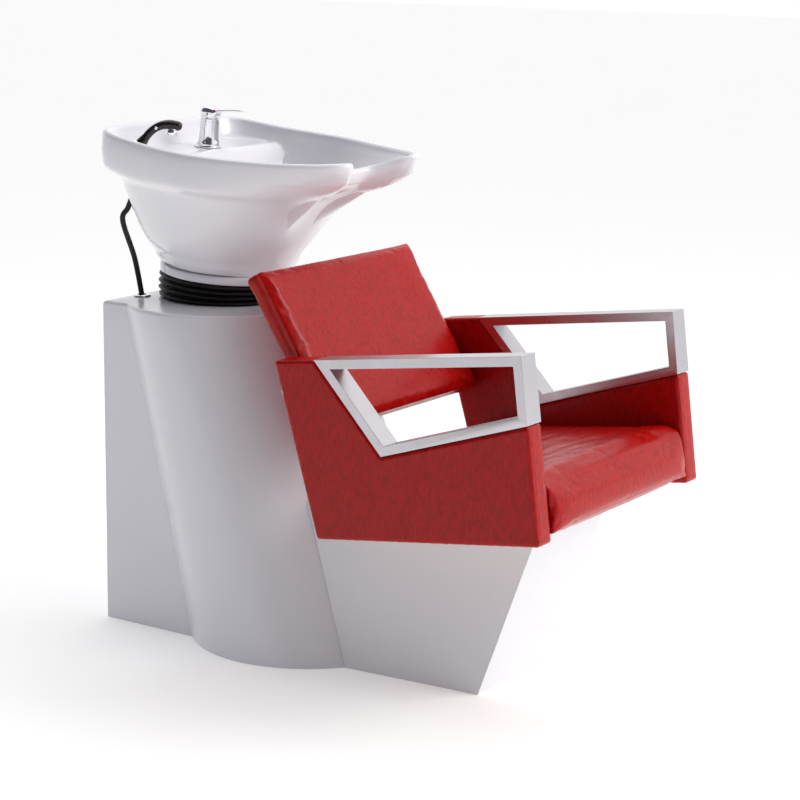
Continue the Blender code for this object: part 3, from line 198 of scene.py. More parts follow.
@dataclass(frozen=True)
class EmbossedVinyl(Finish):
    """Upholstery vinyl with a pressed pattern of short slanted flecks and faint creases, with a painted highlight on
    the flecks and painted shade between them.
    """

    fleck: float = 150.0
    slant: Point = (0.5, 0.25, 0.35)

    def flecks(self, shader: Shader) -> bpy.types.NodeSocket:
        """Height of the pressed pattern."""
        where = shader.place(self.stretch, self.slant)
        warp = shader.add("ShaderNodeTexNoise", {"Vector": where, "Scale": self.fleck * 0.6, "Detail": 1.0})
        shift = shader.add("ShaderNodeVectorMath", {0: warp.outputs["Color"], "Scale": 0.004}, operation="SCALE")
        moved = shader.add("ShaderNodeVectorMath", {0: where, 1: shift.outputs[0]}, operation="ADD")
        cells = shader.add("ShaderNodeTexVoronoi", {"Vector": moved.outputs[0], "Scale": self.fleck,
                                                    "Smoothness": 0.35}, feature="SMOOTH_F1")
        return cells.outputs["Distance"]

    def tint(self, shader: Shader, patch: bpy.types.NodeSocket) -> bpy.types.NodeSocket:
        """Painted shade between the flecks in deep red, and a painted highlight on them in bright red."""
        # painted highlight on the fleck tops and painted shade between the flecks, mixed with a little random tone from
        # the patches
        fleck_highlight_mask = shader.rescale(self.flecks(shader), (0.08, 0.70), (1.0, 0.0))
        highlight_and_tone = shader.mix(0.12, fleck_highlight_mask, patch)
        return shader.ramp(highlight_and_tone, [(0.05, self.shade), (0.55, self.colour)])

    def relief(self, shader: Shader) -> bpy.types.NodeSocket:
        """Pressed flecks over fine grain and wide soft creases."""
        grain = shader.noise(shader.place((1.0, 1.0, 1.0)), self.grain)
        crease = shader.noise(shader.place((1.0, 3.5, 1.5), self.slant), 22.0, 2.0)
        pressed = shader.rescale(self.flecks(shader), (0.05, 0.85), (1.0, 0.0))
        fine = shader.mix(0.22, pressed, grain)
        return shader.mix(0.30, fine, crease)


@dataclass(frozen=True)
class Spangled(Finish):
    """Zinc plating with faint crystal spangles."""

    cells: float = 90.0

    def tint(self, shader: Shader, patch: bpy.types.NodeSocket) -> bpy.types.NodeSocket:
        """Slightly different greys from crystal to crystal."""
        cells = shader.add("ShaderNodeTexVoronoi", {"Vector": shader.place((1.0, 1.0, 1.0)), "Scale": self.cells})
        grey = shader.add("ShaderNodeSeparateXYZ", {0: cells.outputs["Color"]})
        return shader.ramp(grey.outputs[0], [(0.0, self.shade), (1.0, self.colour)])


@dataclass(frozen=True)
class Timber(Finish):
    """Plywood with long grain lines."""

    def tint(self, shader: Shader, patch: bpy.types.NodeSocket) -> bpy.types.NodeSocket:
        """Light wood with darker grain."""
        lines = shader.noise(shader.place((1.0, 9.0, 9.0)), 30.0, 5.0)
        return shader.ramp(lines, [(0.35, self.shade), (0.65, self.colour)])


GELCOAT = Finish("white_gelcoat_look", (0.845, 0.845, 0.885), (0.838, 0.838, 0.878), 0.24, 0.01, coat=0.35,
                 grain=260.0, depth=0.000008)
BOWL_GELCOAT = Finish("bowl_gelcoat_look", (0.865, 0.855, 0.895), (0.858, 0.848, 0.888), 0.20, 0.01, coat=0.45,
                      grain=200.0, depth=0.000008)
# on the vinyl, colour is the red on the flecks brightened as a painted highlight, and shade is the deep red between
# them darkened as painted shade
VINYL = EmbossedVinyl("embossed_vinyl_look", (0.46, 0.003, 0.002), (0.36, 0.002, 0.001), 0.29, 0.03, coat=0.0,
                      grain=1500.0, depth=0.00030, stretch=(1.0, 1.0, 0.42), specular=0.26)
SATIN = Finish("satin_silver_look", (0.60, 0.58, 0.61), (0.57, 0.55, 0.58), 0.30, 0.03, metallic=1.0,
               grain=700.0, depth=0.000006, stretch=(0.06, 1.0, 1.0))
CHROME = Finish("bright_chrome_look", (0.88, 0.88, 0.90), (0.84, 0.84, 0.87), 0.06, 0.03, metallic=1.0,
                grain=400.0, depth=0.000004)
RUBBER = Finish("black_rubber_look", (0.016, 0.012, 0.013), (0.008, 0.006, 0.007), 0.52, 0.06, grain=650.0,
                depth=0.00010, specular=0.35)
DARK_PLASTIC = Finish("brown_black_plastic_look", (0.014, 0.007, 0.006), (0.008, 0.004, 0.004), 0.28, 0.04,
                      coat=0.15, grain=900.0, depth=0.00001)
PAINTED = Finish("grey_painted_steel_look", (0.11, 0.11, 0.12), (0.08, 0.08, 0.09), 0.45, 0.08, grain=500.0,
                 depth=0.00008)
ZINC = Spangled("zinc_plating_look", (0.66, 0.66, 0.68), (0.52, 0.52, 0.54), 0.36, 0.08, metallic=1.0)
BRASS = Finish("brass_look", (0.80, 0.60, 0.28), (0.68, 0.48, 0.20), 0.28, 0.07, metallic=1.0, depth=0.00003)
PLYWOOD = Timber("plywood_look", (0.60, 0.42, 0.25), (0.44, 0.29, 0.16), 0.62, 0.08, grain=700.0, depth=0.0001)
WHITE_PLASTIC = Finish("white_plastic_look", (0.80, 0.80, 0.80), (0.75, 0.75, 0.76), 0.42, 0.06, grain=600.0,
                       depth=0.00004)
RED_PLASTIC = Finish("red_plastic_look", (0.66, 0.012, 0.015), (0.56, 0.008, 0.010), 0.28, 0.06, coat=0.3)
BLUE_PLASTIC = Finish("blue_plastic_look", (0.02, 0.07, 0.56), (0.015, 0.05, 0.44), 0.30, 0.06, coat=0.3)
BRAID = Finish("steel_braid_look", (0.72, 0.71, 0.72), (0.40, 0.39, 0.40), 0.34, 0.10, metallic=1.0,
               patches=420.0, grain=900.0, depth=0.0003)

SLOT_LOOKS = {
    "white_ceramic": BOWL_GELCOAT, "white_gelcoat": GELCOAT, "red_vinyl": VINYL, "satin_steel": SATIN,
    "chrome": CHROME, "black_rubber": RUBBER, "black_plastic": DARK_PLASTIC, "painted_steel": PAINTED,
    "zinc_steel": ZINC, "brass": BRASS, "plywood": PLYWOOD, "white_plastic": WHITE_PLASTIC,
    "red_mark": RED_PLASTIC, "blue_mark": BLUE_PLASTIC,
}
NODE_LOOKS = {"hot_supply_hose": BRAID, "cold_supply_hose": BRAID}


# ---------------------------------------------------------------- the workbench
class Bench:
    """The steps that the pieces share, done with Blender's own operators."""

    @staticmethod
    def take(piece: bpy.types.Object | None) -> None:
        """Select one object and nothing else."""
        for other in bpy.context.selected_objects:
            other.select_set(False)
        if piece:
            piece.select_set(True)
            bpy.context.view_layer.objects.active = piece

    @staticmethod
    def edit(piece: bpy.types.Object, *steps: Callable[[], object]) -> None:
        """Do steps in edit mode with everything selected."""
        Bench.take(piece)
        bpy.ops.object.mode_set(mode="EDIT")
        bpy.ops.mesh.select_all(action="SELECT")
        for step in steps:
            step()
        bpy.ops.object.mode_set(mode="OBJECT")

    @staticmethod
    def tidy(piece: bpy.types.Object, smooth: float = 30.0) -> None:
        """Merge doubles, turn faces outwards and shade smoothly below an angle in degrees."""
        Bench.edit(piece,
                   lambda: bpy.ops.mesh.remove_doubles(threshold=MERGE),
                   lambda: bpy.ops.mesh.dissolve_degenerate(threshold=MERGE),
                   lambda: bpy.ops.mesh.select_all(action="SELECT"),
                   lambda: bpy.ops.mesh.normals_make_consistent(inside=False))
        bpy.ops.object.shade_smooth_by_angle(angle=math.radians(smooth))

    @staticmethod
    def modify(piece: bpy.types.Object, kind: str, **settings: object) -> None:
        """Add a modifier with its settings and apply it."""
        Bench.take(piece)
        step = piece.modifiers.new(kind.lower(), kind)
        for key, value in settings.items():
            setattr(step, key, value)
        bpy.ops.object.modifier_apply(modifier=step.name)

    @staticmethod
    def named(name: str) -> bpy.types.Object:
        """Name the primitive that has just been added."""
        piece = bpy.context.active_object
        piece.name = name
        piece.data.name = name
        return piece

    @staticmethod
    def skin(name: str, rows: list[list[Vector]], smooth: float = 30.0) -> bpy.types.Object:
        """A closed surface over rows of points that each run once around the piece.

        Args:
            name: the piece's name.
            rows: rows of equal length; a row whose points coincide closes an end.
            smooth: angle in degrees below which edges are smooth.

        Returns:
            The piece.
        """
        around, along = len(rows[0]), len(rows) - 1
        Bench.take(None)
        bpy.ops.mesh.primitive_grid_add(x_subdivisions=around, y_subdivisions=along, size=1.0)
        piece = Bench.named(name)
        for vertex in piece.data.vertices:
            column = round((vertex.co.x + 0.5) * around) % around
            row = round((vertex.co.y + 0.5) * along)
            vertex.co = rows[row][column]
        Bench.tidy(piece, smooth)
        return piece

    @staticmethod
    def turned(name: str, profile: list[tuple[float, float]], place: Matrix, steps: int = 96,
               smooth: float = 30.0) -> bpy.types.Object:
        """Spin a closed profile of (radius, height) about Z and put the piece in its place."""
        Bench.take(None)
        bpy.ops.mesh.primitive_circle_add(vertices=len(profile), radius=1.0, fill_type="NOTHING")
        piece = Bench.named(name)
        for vertex, (radius, height) in zip(piece.data.vertices, profile):
            vertex.co = (radius, 0.0, height)
        Bench.edit(piece, lambda: bpy.ops.mesh.spin(steps=steps, dupli=False, angle=math.tau,
                                                    center=(0.0, 0.0, 0.0), axis=(0.0, 0.0, 1.0)))
        piece.data.transform(place)
        Bench.tidy(piece, smooth)
        return piece

    @staticmethod
    def plate(name: str, outline: list[Vector], depth: Vector, edge: float, segments: int = 3) -> bpy.types.Object:
        """Extrude a flat outline and round all its edges."""
        Bench.take(None)
        bpy.ops.mesh.primitive_circle_add(vertices=len(outline), radius=1.0, fill_type="NGON")
        piece = Bench.named(name)
        for vertex, point in zip(piece.data.vertices, outline):
            vertex.co = point
        Bench.edit(piece, lambda: bpy.ops.mesh.extrude_region_move(TRANSFORM_OT_translate={"value": depth}))
        Bench.tidy(piece)
        Bench.edit(piece, lambda: bpy.ops.mesh.bevel(offset=edge, segments=segments, affect="EDGES"))
        Bench.tidy(piece)
        return piece

    @staticmethod
    def pebble(name: str, centre: Vector, size: Point, turn: Matrix | None = None) -> bpy.types.Object:
        """A small rounded button: a sphere scaled to half sizes, turned and put in place."""
        Bench.take(None)
        bpy.ops.mesh.primitive_uv_sphere_add(segments=24, ring_count=16, radius=1.0)
        piece = Bench.named(name)
        place = Matrix.Translation(centre) @ (turn or Matrix.Identity(3)).to_4x4() @ Matrix.Diagonal((*size, 1.0))
        piece.data.transform(place)
        Bench.tidy(piece, 60.0)
        return piece

    @staticmethod
    def tube(name: str, path: list[Vector], radius: float, sides: int = 20) -> bpy.types.Object:
        """A round tube along a path, closed at both ends."""
        rows = [[path[0]] * sides]
        normal = (path[1] - path[0]).orthogonal().normalized()
        for i, point in enumerate(path):
            along = (path[min(i + 1, len(path) - 1)] - path[max(i - 1, 0)]).normalized()
            normal = (normal - along * normal.dot(along)).normalized()
            across = along.cross(normal)
            rows.append([point + (normal * math.cos(math.tau * k / sides)
                                  + across * math.sin(math.tau * k / sides)) * radius for k in range(sides)])
        rows.append([path[-1]] * sides)
        return Bench.skin(name, rows, 50.0)

    @staticmethod
    def copy_of(node: str, name: str, smooth: float = 30.0) -> bpy.types.Object:
        """A merged copy of a CAD node, to be finished by hand."""
        piece = frame["nodes"][node].copy()
        piece.data = piece.data.copy()
        bpy.context.scene.collection.objects.link(piece)
        piece.parent = None
        for key in list(piece.keys()):
            del piece[key]
        piece.name = name
        Bench.edit(piece, lambda: bpy.ops.mesh.remove_doubles(threshold=MERGE))
        bpy.ops.object.shade_smooth_by_angle(angle=math.radians(smooth))
        return piece

    @staticmethod
    def dress(piece: bpy.types.Object, finish: Finish, slot: str, body: Body | None, *nodes: str) -> None:
        """Give a piece its finish, its body and the CAD nodes that it stands for.

        Args:
            piece: the finished piece.
            finish: its surface finish.
            slot: the record's material slot; not used.
            body: the body it rides on, or None where it bends between two.
            nodes: the CAD nodes that it replaces.
        """
        piece.data.materials.clear()
        piece.data.materials.append(finish.material())
        if body:
            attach(piece, body.value)
        if nodes:
            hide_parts(*nodes)
        LOG.info("%s: %d faces, %s", piece.name, len(piece.data.polygons), finish.name)


def smooth_step(value: float) -> float:
    """A smooth rise from 0 to 1."""
    value = max(0.0, min(1.0, value))
    return value * value * (3.0 - 2.0 * value)


def spline(points: list[Vector], share: float, closed: bool = False) -> Vector:
    """The point at a share of a smooth curve through points.

    Args:
        points: vectors of any one size.
        share: 0 at the first point and 1 at the last, or back at the first where the curve is closed.
        closed: whether the curve joins its own start.

    Returns:
        The point on the curve.
    """
    count = len(points)
    spans = count if closed else count - 1
    at = min(share * spans, spans - 1e-6)
    i = int(at)
    t = at - i
    if closed:
        a, b, c, d = (points[(i + k - 1) % count] for k in range(4))
    else:
        b, c = points[i], points[i + 1]
        a = points[i - 1] if i > 0 else b * 2 - c
        d = points[i + 2] if i + 2 < count else c * 2 - b
    return 0.5 * (2 * b + (c - a) * t + (2 * a - 5 * b + 4 * c - d) * t ** 2 + (3 * b - a - 3 * c + d) * t ** 3)


def even_path(points: list[Point], count: int) -> list[Vector]:
    """Points evenly spread along a smooth curve through the given ones."""
    vectors = [Vector(point) for point in points]
    fine = [spline(vectors, k / 800) for k in range(801)]
    reach = [0.0]
    for a, b in zip(fine, fine[1:]):
        reach.append(reach[-1] + (b - a).length)
    path = []
    at = 0
    for k in range(count):
        want = reach[-1] * k / (count - 1)
        while at < len(fine) - 2 and reach[at + 1] < want:
            at += 1
        share = (want - reach[at]) / (reach[at + 1] - reach[at])
        path.append(fine[at].lerp(fine[at + 1], min(1.0, share)))
    return path


# ---------------------------------------------------------------- the bowl
@dataclass
class Bowl:
    """The wash bowl and its foot collar, in the bowl's own frame on the tilt axis."""

    tilt_y: float = 0.282
    tilt_z: float = 0.690
    tilt: float = math.radians(4.2)
    rim_height: float = 0.289
    rim_round: float = 0.009
    rim_bow: float = 0.087
    rim_flick: float = 1.3
    rim_lowest_y: float = -0.090
    wall: float = 0.010
    foot_radius: float = 0.130
    foot: float = 0.0346
    neck_dip: float = 0.024
    deck_depth: float = 0.029
    deck_front_low: float = -0.045
    deck_slope: float = 0.100
    sump_height: float = 0.086
    sump_y: float = -0.050
    sump_radius: float = 0.034
    drain_radius: float = 0.022
    collar_radius: float = 0.140
    collar_low: float = 0.018
    columns: int = 192

    # Half plan of the rim from the rear centre to the neck:
    # x, y, share of the front's shaping, share of the neck dip.
    RIM_PLAN = (
        (0.000, 0.194, 0.00, 0.00), (0.062, 0.1935, 0.00, 0.00), (0.122, 0.192, 0.00, 0.00),
        (0.176, 0.187, 0.00, 0.00), (0.211, 0.168, 0.00, 0.00), (0.228, 0.128, 0.00, 0.00),
        (0.240, 0.060, 0.00, 0.00), (0.253, -0.015, 0.00, 0.00), (0.254, -0.085, 0.02, 0.00),
        (0.241, -0.145, 0.12, 0.00), (0.220, -0.205, 0.33, 0.00), (0.196, -0.263, 0.60, 0.00),
        (0.168, -0.315, 0.86, 0.00), (0.142, -0.347, 0.96, 0.00), (0.113, -0.360, 1.00, 0.05),
        (0.089, -0.350, 1.00, 0.22), (0.066, -0.326, 1.00, 0.60), (0.038, -0.302, 1.00, 0.90),
        (0.000, -0.297, 1.00, 1.00),
    )
    # Outer levels: height, how far the rear and sides have closed to the foot's circle,
    # and how far the front has.
    OUTER_LEVELS = (
        (0.0346, 1.00, 1.00), (0.045, 0.89, 1.00), (0.062, 0.75, 0.985), (0.085, 0.58, 0.945),
        (0.110, 0.45, 0.875), (0.137, 0.34, 0.78), (0.165, 0.235, 0.665), (0.190, 0.140, 0.53),
        (0.212, 0.060, 0.37), (0.232, 0.020, 0.19), (0.252, 0.000, 0.050),
    )

    def place(self) -> Matrix:
        """From the bowl's frame to the unit's."""
        return Matrix.Translation((0.0, self.tilt_y, self.tilt_z)) @ Matrix.Rotation(self.tilt, 4, "X")

    def plans(self) -> list[Vector]:
        """Rim stations all round: x, y, share of the front's shaping, share of the neck dip."""
        half = [Vector(station) for station in self.RIM_PLAN]
        loop = half + [Vector((-p[0], p[1], p[2], p[3])) for p in reversed(half[1:-1])]
        return [spline(loop, k / self.columns, closed=True) for k in range(self.columns)]

    def bow(self, y: float) -> float:
        """How far the rim rises at a distance from its lowest line."""
        away = y - self.rim_lowest_y
        return self.rim_bow * away ** 2 + self.rim_flick * away ** 4

    def outer(self, plan: Vector, level: Vector, inset: float = 0.0) -> Vector:
        """A point of the outer skin at a level."""
        height, side_close, front_close = level
        close = side_close + (front_close - side_close) * smooth_step(plan[2])
        foot = Vector((plan[0], plan[1] - self.sump_y * 0.5)).normalized() * self.foot_radius
        flat = Vector((plan[0], plan[1])) * (1.0 - close) + foot * close
        flat -= flat.normalized() * inset
        dip = self.neck_dip * plan[3] * max(0.0, height - 0.2) / (self.rim_height - 0.2)
        lift = self.bow(flat.y) * max(0.0, height - 0.15) / (self.rim_height - 0.15)
        return Vector((flat.x, flat.y, height - dip + lift))

    def outer_row(self, plans: list[Vector], level: Vector, inset: float = 0.0) -> list[Vector]:
        """A row of the outer skin, evened out sideways between the foot and the lip."""
        row = [self.outer(plan, level, inset) for plan in plans]
        width = 9.0 * smooth_step((level[0] - self.foot) / 0.030) * smooth_step((0.232 - level[0]) / 0.030)
        if width < 0.5:
            return row
        reach = math.ceil(2.5 * width)
        weights = [math.exp(-0.5 * (step / width) ** 2) for step in range(-reach, reach + 1)]
        total = sum(weights)
        count = len(row)
        return [sum((row[(k + step - reach) % count] * weight for step, weight in enumerate(weights)), Vector((0, 0, 0)))
                / total for k in range(count)]

    def inward(self, plan: Vector) -> Vector:
        """Direction from a rim point into the bowl."""
        side = max(-1.0, min(1.0, plan[0] / 0.14))
        at_neck = Vector((-side * 0.75, 1.0)).normalized()
        elsewhere = (Vector((0.0, self.sump_y)) - Vector((plan[0] * 0.9, plan[1]))).normalized()
        return elsewhere.lerp(at_neck, smooth_step((plan[2] - 0.55) / 0.35)).normalized()

    def rim(self, plan: Vector, inset: float, drop: float) -> Vector:
        """A point near the rim, drawn inwards and lowered."""
        flat = Vector((plan[0], plan[1])) + self.inward(plan) * inset
        return Vector((flat.x, flat.y, self.rim_height - drop - self.neck_dip * plan[3] + self.bow(flat.y)))

    def inner(self, plan: Vector, share: float, sink: float = 0.0) -> Vector:
        """A point of the basin, from the sump (share 0) to the inner rim (share 1)."""
        edge = self.rim(plan, 2.2 * self.rim_round, 0.0)
        start = Vector((0.0, self.sump_y))
        flat = start + (Vector((edge.x, edge.y)) - start) * share
        wall = share ** (2.6 - 1.3 * smooth_step(plan[2]))
        height = self.sump_height + (edge.z - self.rim_round - self.sump_height) * wall
        rise = smooth_step((flat.y - self.deck_front_low) / self.deck_slope)
        deck = self.sump_height + (self.rim_height - self.deck_depth - self.sump_height) * rise
        blend = 0.026
        higher = smooth_step(0.5 + (deck - height) / (2 * blend))
        height = height + (deck - height) * higher
        return Vector((flat.x, flat.y, height - sink))

    def around_sump(self, plan: Vector, radius: float, height: float) -> Vector:
        """A point round the sump on the same ray as a rim point."""
        edge = self.rim(plan, 0.0, 0.0)
        ray = Vector((edge.x, edge.y - self.sump_y)).normalized() * radius
        return Vector((ray.x, ray.y + self.sump_y, height))

    def skin_rows(self) -> list[list[Vector]]:
        """Rows of the bowl's skin, from the foot up, over the rim, down to the waste and back underneath."""
        plans = self.plans()
        levels = [Vector(level) for level in self.OUTER_LEVELS]
        rows = [self.outer_row(plans, spline(levels, k / 44)) for k in range(45)]
        turn = 10
        for k in range(turn + 1):
            angle = math.pi * k / turn
            inset = self.rim_round * (1.0 - math.cos(angle))
            drop = self.rim_round * (1.0 - math.sin(angle))
            rows.append([self.rim(p, inset, drop) for p in plans])
        for k in range(1, 41):
            rows.append([self.inner(p, 1.0 - 0.76 * k / 40) for p in plans])
        edge, low = self.sump_height, self.sump_height - 0.018
        for radius, height in ((self.sump_radius + 0.004, edge + 0.0006), (self.sump_radius, edge - 0.001),
                               (self.drain_radius, edge - 0.004), (self.drain_radius, low),
                               (self.sump_radius + self.wall, low)):
            rows.append([self.around_sump(p, radius, height) for p in plans])
        for share in (0.48, 0.60, 0.72, 0.82):
            rows.append([self.inner(p, share, self.wall) for p in plans])
        for index in (7, 5, 3, 1, 0):
            rows.append(self.outer_row(plans, levels[index], self.wall))
        rows.append(rows[0])
        return rows

    def drill(self, piece: bpy.types.Object, start: Vector, end: Vector, radius: float) -> None:
        """Cut a round hole between two points of the bowl's frame."""
        axis = end - start
        Bench.take(None)
        bpy.ops.mesh.primitive_cylinder_add(vertices=48, radius=radius, depth=axis.length)
        cutter = Bench.named("drill")
        turn = Vector((0, 0, 1)).rotation_difference(axis).to_matrix().to_4x4()
        cutter.data.transform(self.place() @ Matrix.Translation((start + end) / 2) @ turn)
        Bench.modify(piece, "BOOLEAN", operation="DIFFERENCE", object=cutter, solver="MANIFOLD")
        bpy.data.objects.remove(cutter)

    def build(self, tap: "MixerTap", spray: "HandSpray") -> None:
        """Make the bowl and its collar."""
        bowl = Bench.skin("bowl_shell", self.skin_rows(), 40.0)
        bowl.data.transform(self.place())
        deck = self.rim_height - self.deck_depth
        seat = Vector((tap.x, tap.y, deck))
        self.drill(bowl, seat - Vector((0, 0, 0.03)), seat + Vector((0, 0, 0.01)), tap.shank + GAP)
        seat, axis = spray.seat(self), spray.axis()
        self.drill(bowl, seat - axis * 0.060, seat + axis * 0.030, spray.holder_radius + GAP)
        self.drill(bowl, spray.hose_exit + spray.hose_slope * 1.5, spray.hose_exit - spray.hose_slope,
                   spray.hose_radius + 0.006)
        bpy.ops.object.shade_smooth_by_angle(angle=math.radians(40))
        Bench.dress(bowl, BOWL_GELCOAT, "white_ceramic", Body.BOWL, "bowl")
        inner, top, low = self.foot_radius - 0.002 + GAP, self.foot - GAP, self.collar_low
        outer, edge = self.collar_radius, 0.003
        profile = [(inner, low), (outer - edge, low)]
        profile += [(outer - edge + edge * math.sin(a), low + edge - edge * math.cos(a)) for a in (0.52, 1.05, 1.57)]
        profile += [(outer - edge + edge * math.cos(a), top - edge + edge * math.sin(a)) for a in (0.0, 0.52, 1.05, 1.57)]
        profile += [(inner, top)]
        collar = Bench.turned("collar_band", profile, self.place(), 128)
        Bench.dress(collar, BOWL_GELCOAT, "white_gelcoat", Body.BOWL, "bowl_collar")


# ---------------------------------------------------------------- tap and hand spray
@dataclass
class MixerTap:
    """The mixer tap on the bowl's deck: base ring, tapered body, turning cap and lever."""

    x: float = 0.020
    y: float = 0.087
    radius: float = 0.0195
    base_radius: float = 0.0275
    height: float = 0.052
    shank: float = 0.014
    lever: float = 0.088

    def build(self, bowl: Bowl) -> None:
        """Make the tap's visible pieces."""
        deck = bowl.rim_height - bowl.deck_depth + GAP
        place = bowl.place() @ Matrix.Translation((self.x, self.y, deck))
        bore = self.shank + GAP
        base = [(bore, 0.0), (self.base_radius - 0.0008, 0.0), (self.base_radius, 0.0008), (self.base_radius, 0.0024),
                (self.base_radius - 0.0010, 0.0036), (self.base_radius - 0.0028, 0.0040),
                (self.base_radius - 0.0030, 0.0054), (self.base_radius - 0.0038, 0.0060), (bore, 0.0060)]
        ring = Bench.turned("tap_base_ring", base, place, 96, 35.0)
        Bench.dress(ring, CHROME, "chrome", Body.BOWL, "mixer_base_ring")
        low, top, r = 0.0063, 0.0063 + self.height, self.radius
        body = [(0.0, -0.040), (self.shank, -0.040), (self.shank, low), (r + 0.0030, low), (r + 0.0030, low + 0.0010),
                (r + 0.0022, low + 0.0040), (r + 0.0012, low + 0.0100), (r + 0.0004, low + 0.0220),
                (r, low + 0.0340), (r, top - 0.0060), (r - 0.0007, top - 0.0056), (r - 0.0007, top - 0.0048),
                (r, top - 0.0044), (r, top - 0.0006), (r - 0.0006, top), (0.0, top)]
        barrel = Bench.turned("tap_body", body, place, 96, 35.0)
        Bench.dress(barrel, CHROME, "chrome", Body.BOWL, "mixer_body")
        self.build_lever(place @ Matrix.Translation((0.0, 0.0, top + GAP)))

    def section(self, share: float) -> tuple[float, float, float, float]:
        """Place along Y, half width, underside and top of the lever at a share of its length."""
        radius = self.radius - 0.0002
        y = radius * 0.995 * (1 - share) - self.lever * share
        blade = smooth_step((-y - 0.004) / 0.026)
        width = radius * (1 - 0.64 * blade)
        if y > 0.0:
            width = radius * math.sqrt(max(0.01, 1.0 - (y / radius) ** 2))
        tip = max(0.0, (share - 0.93) / 0.07)
        width *= math.sqrt(max(0.04, 1.0 - tip * tip))
        top = 0.0185 + 0.0075 * math.sqrt(max(0.0, 1.0 - (min(abs(y), radius) / radius) ** 2)) * (1 - blade)
        top += 0.0085 * smooth_step((share - 0.15) / 0.85)
        under = 0.0004 + (top - 0.0040 - 0.0004) * smooth_step((-y - radius * 0.80) / 0.012)
        return y, width, under, top

    def build_lever(self, place: Matrix) -> None:
        """Make the cap with its blade, and the red mark on the cap."""
        stations, sides = 49, 40
        rows = []
        for k in range(stations):
            y, width, under, top = self.section(k / (stations - 1))
            ring = []
            for i in range(sides):
                angle = math.tau * i / sides
                x, z = math.cos(angle), math.sin(angle)
                bulge = 0.75 if z > 0.0 else 0.30
                x = math.copysign(abs(x) ** bulge, x)
                z = math.copysign(abs(z) ** bulge, z)
                ring.append(Vector((width * x, y, (under + top) / 2 + (top - under) / 2 * z)))
            rows.append(ring)
        rows = [[sum(rows[0], Vector()) / sides] * sides] + rows + [[sum(rows[-1], Vector()) / sides] * sides]
        lever = Bench.skin("tap_lever", rows, 50.0)
        Bench.take(None)
        bpy.ops.mesh.primitive_cube_add(size=1.0)
        room = Bench.named("stem_room")
        room.data.transform(Matrix.Translation((0.0, -0.001, 0.0007)) @ Matrix.Diagonal((0.015, 0.022, 0.0215, 1.0)))
        Bench.modify(lever, "BOOLEAN", operation="DIFFERENCE", object=room, solver="EXACT")
        bpy.data.objects.remove(room)
        lever.data.transform(place)
        Bench.take(lever)
        bpy.ops.object.shade_smooth_by_angle(angle=math.radians(50))
        Bench.dress(lever, CHROME, "chrome", Body.HANDLE, "mixer_handle")
        y, width, under, top = self.section(0.34)
        spot = Vector((-width * 0.62, y, top - 0.0036))
        mark = Bench.pebble("tap_mark", place @ spot, (0.0028, 0.0034, 0.0028))
        Bench.dress(mark, RED_PLASTIC, "red_mark", Body.HANDLE)


